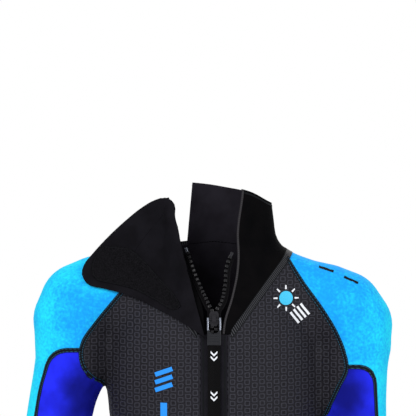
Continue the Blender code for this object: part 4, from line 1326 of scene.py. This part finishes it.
def prints():
    """Generic printed marks: plain bars on the chest, a sun roundel at the shoulder, dashes on the sleeve."""
    for k in range(3):
        decal(f"chest_mark_{k}", oblong(0.0125, 0.0030), (-0.068, -0.1620 - 0.0105 * k), 0.35, "blue_mark")
    decal("chest_mark_strip", oblong(0.0045, 0.020), (-0.068, -0.2240), 0.0, "blue_mark")
    turn = np.linspace(0, 2 * math.pi, 20, endpoint=False)
    disc = [(0.0095 * math.cos(a), 0.0095 * math.sin(a)) for a in turn]
    sun_x, sun_z = 0.0990, -0.0640
    decal("shoulder_sun", disc, (sun_x, sun_z), 0.0, "cyan_mark")
    ray = ((-0.0012, 0.0), (0.0012, 0.0), (0.0008, 0.0055), (-0.0008, 0.0055))
    for k in range(8):
        a = 2 * math.pi * k / 8
        where = (sun_x - 0.0120 * math.sin(a), sun_z + 0.0120 * math.cos(a))
        decal(f"shoulder_ray_{k}", ray, where, a, "white_mark", 0.006)
    for k, (where, lean) in enumerate((((0.1560, -0.0250), -0.32), ((0.1900, -0.0400), -0.42))):
        decal(f"sleeve_dash_{k}", oblong(0.0105, 0.0016), where, lean, "black")
    for k in range(4):
        centre = (0.1180 + 0.0048 * (k - 1.5), -0.0850 + 0.0038 * (k - 1.5))
        decal(f"shoulder_bar_{k}", oblong(0.0095, 0.0016), centre, -0.9, "white_mark", 0.006)


def add_light(name, place, power):
    """A round soft light turned to the suit's chest."""
    data = bpy.data.lights.new(name, "AREA")
    data.shape = "DISK"
    data.size = 1.6
    data.energy = power
    lamp = add_object(name, data)
    lamp.location = place
    lamp.rotation_euler = (Vector((0.0, -0.1, -0.05)) - Vector(place)).to_track_quat("-Z", "Y").to_euler()


def white_world():
    """A white backdrop for the camera and a softer, slightly blue one for the light."""
    world = bpy.data.worlds.new("studio")
    world.use_nodes = True
    tree = world.node_tree
    soft = tree.nodes["Background"]
    soft.inputs["Color"].default_value = (0.95, 0.97, 1.0, 1.0)
    soft.inputs["Strength"].default_value = AMBIENT
    backdrop = tree.nodes.new("ShaderNodeBackground")
    backdrop.inputs["Color"].default_value = (1.0, 1.0, 1.0, 1.0)
    seen = tree.nodes.new("ShaderNodeLightPath")
    both = tree.nodes.new("ShaderNodeMixShader")
    tree.links.new(seen.outputs["Is Camera Ray"], both.inputs[0])
    tree.links.new(soft.outputs[0], both.inputs[1])
    tree.links.new(backdrop.outputs[0], both.inputs[2])
    tree.links.new(both.outputs[0], tree.nodes["World Output"].inputs["Surface"])
    return world


def studio():
    scene = bpy.context.scene
    scene.view_settings.view_transform = "Standard"
    scene.world = white_world()
    add_light("key", (-1.3, -2.2, 1.5), KEY)
    add_light("fill", (1.8, -1.8, 0.5), FILL)
    add_light("rear", (0.5, 2.2, 1.3), REAR)
    floor = bmesh.new()
    bmesh.ops.create_grid(floor, x_segments=1, y_segments=1, size=4.0)
    ground = add_object("floor", mesh_of(floor, "floor"))
    ground.location.z = FLOOR_Z
    ground.data.materials.append(plain("floor", (236, 236, 238), 0.8))
    data = bpy.data.cameras.new("camera")
    data.lens = CAMERA_LENS
    camera = add_object("camera", data)
    camera.location = CAMERA_PLACE
    camera.rotation_euler = (math.pi / 2, 0.0, 0.0)
    scene.camera = camera


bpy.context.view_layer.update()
studio()
fill_looks()
strap_pieces()
slider_pieces()
puller_pieces()
zip_pieces()
flap_pieces()
shell_pieces(body_mesh())
prints()
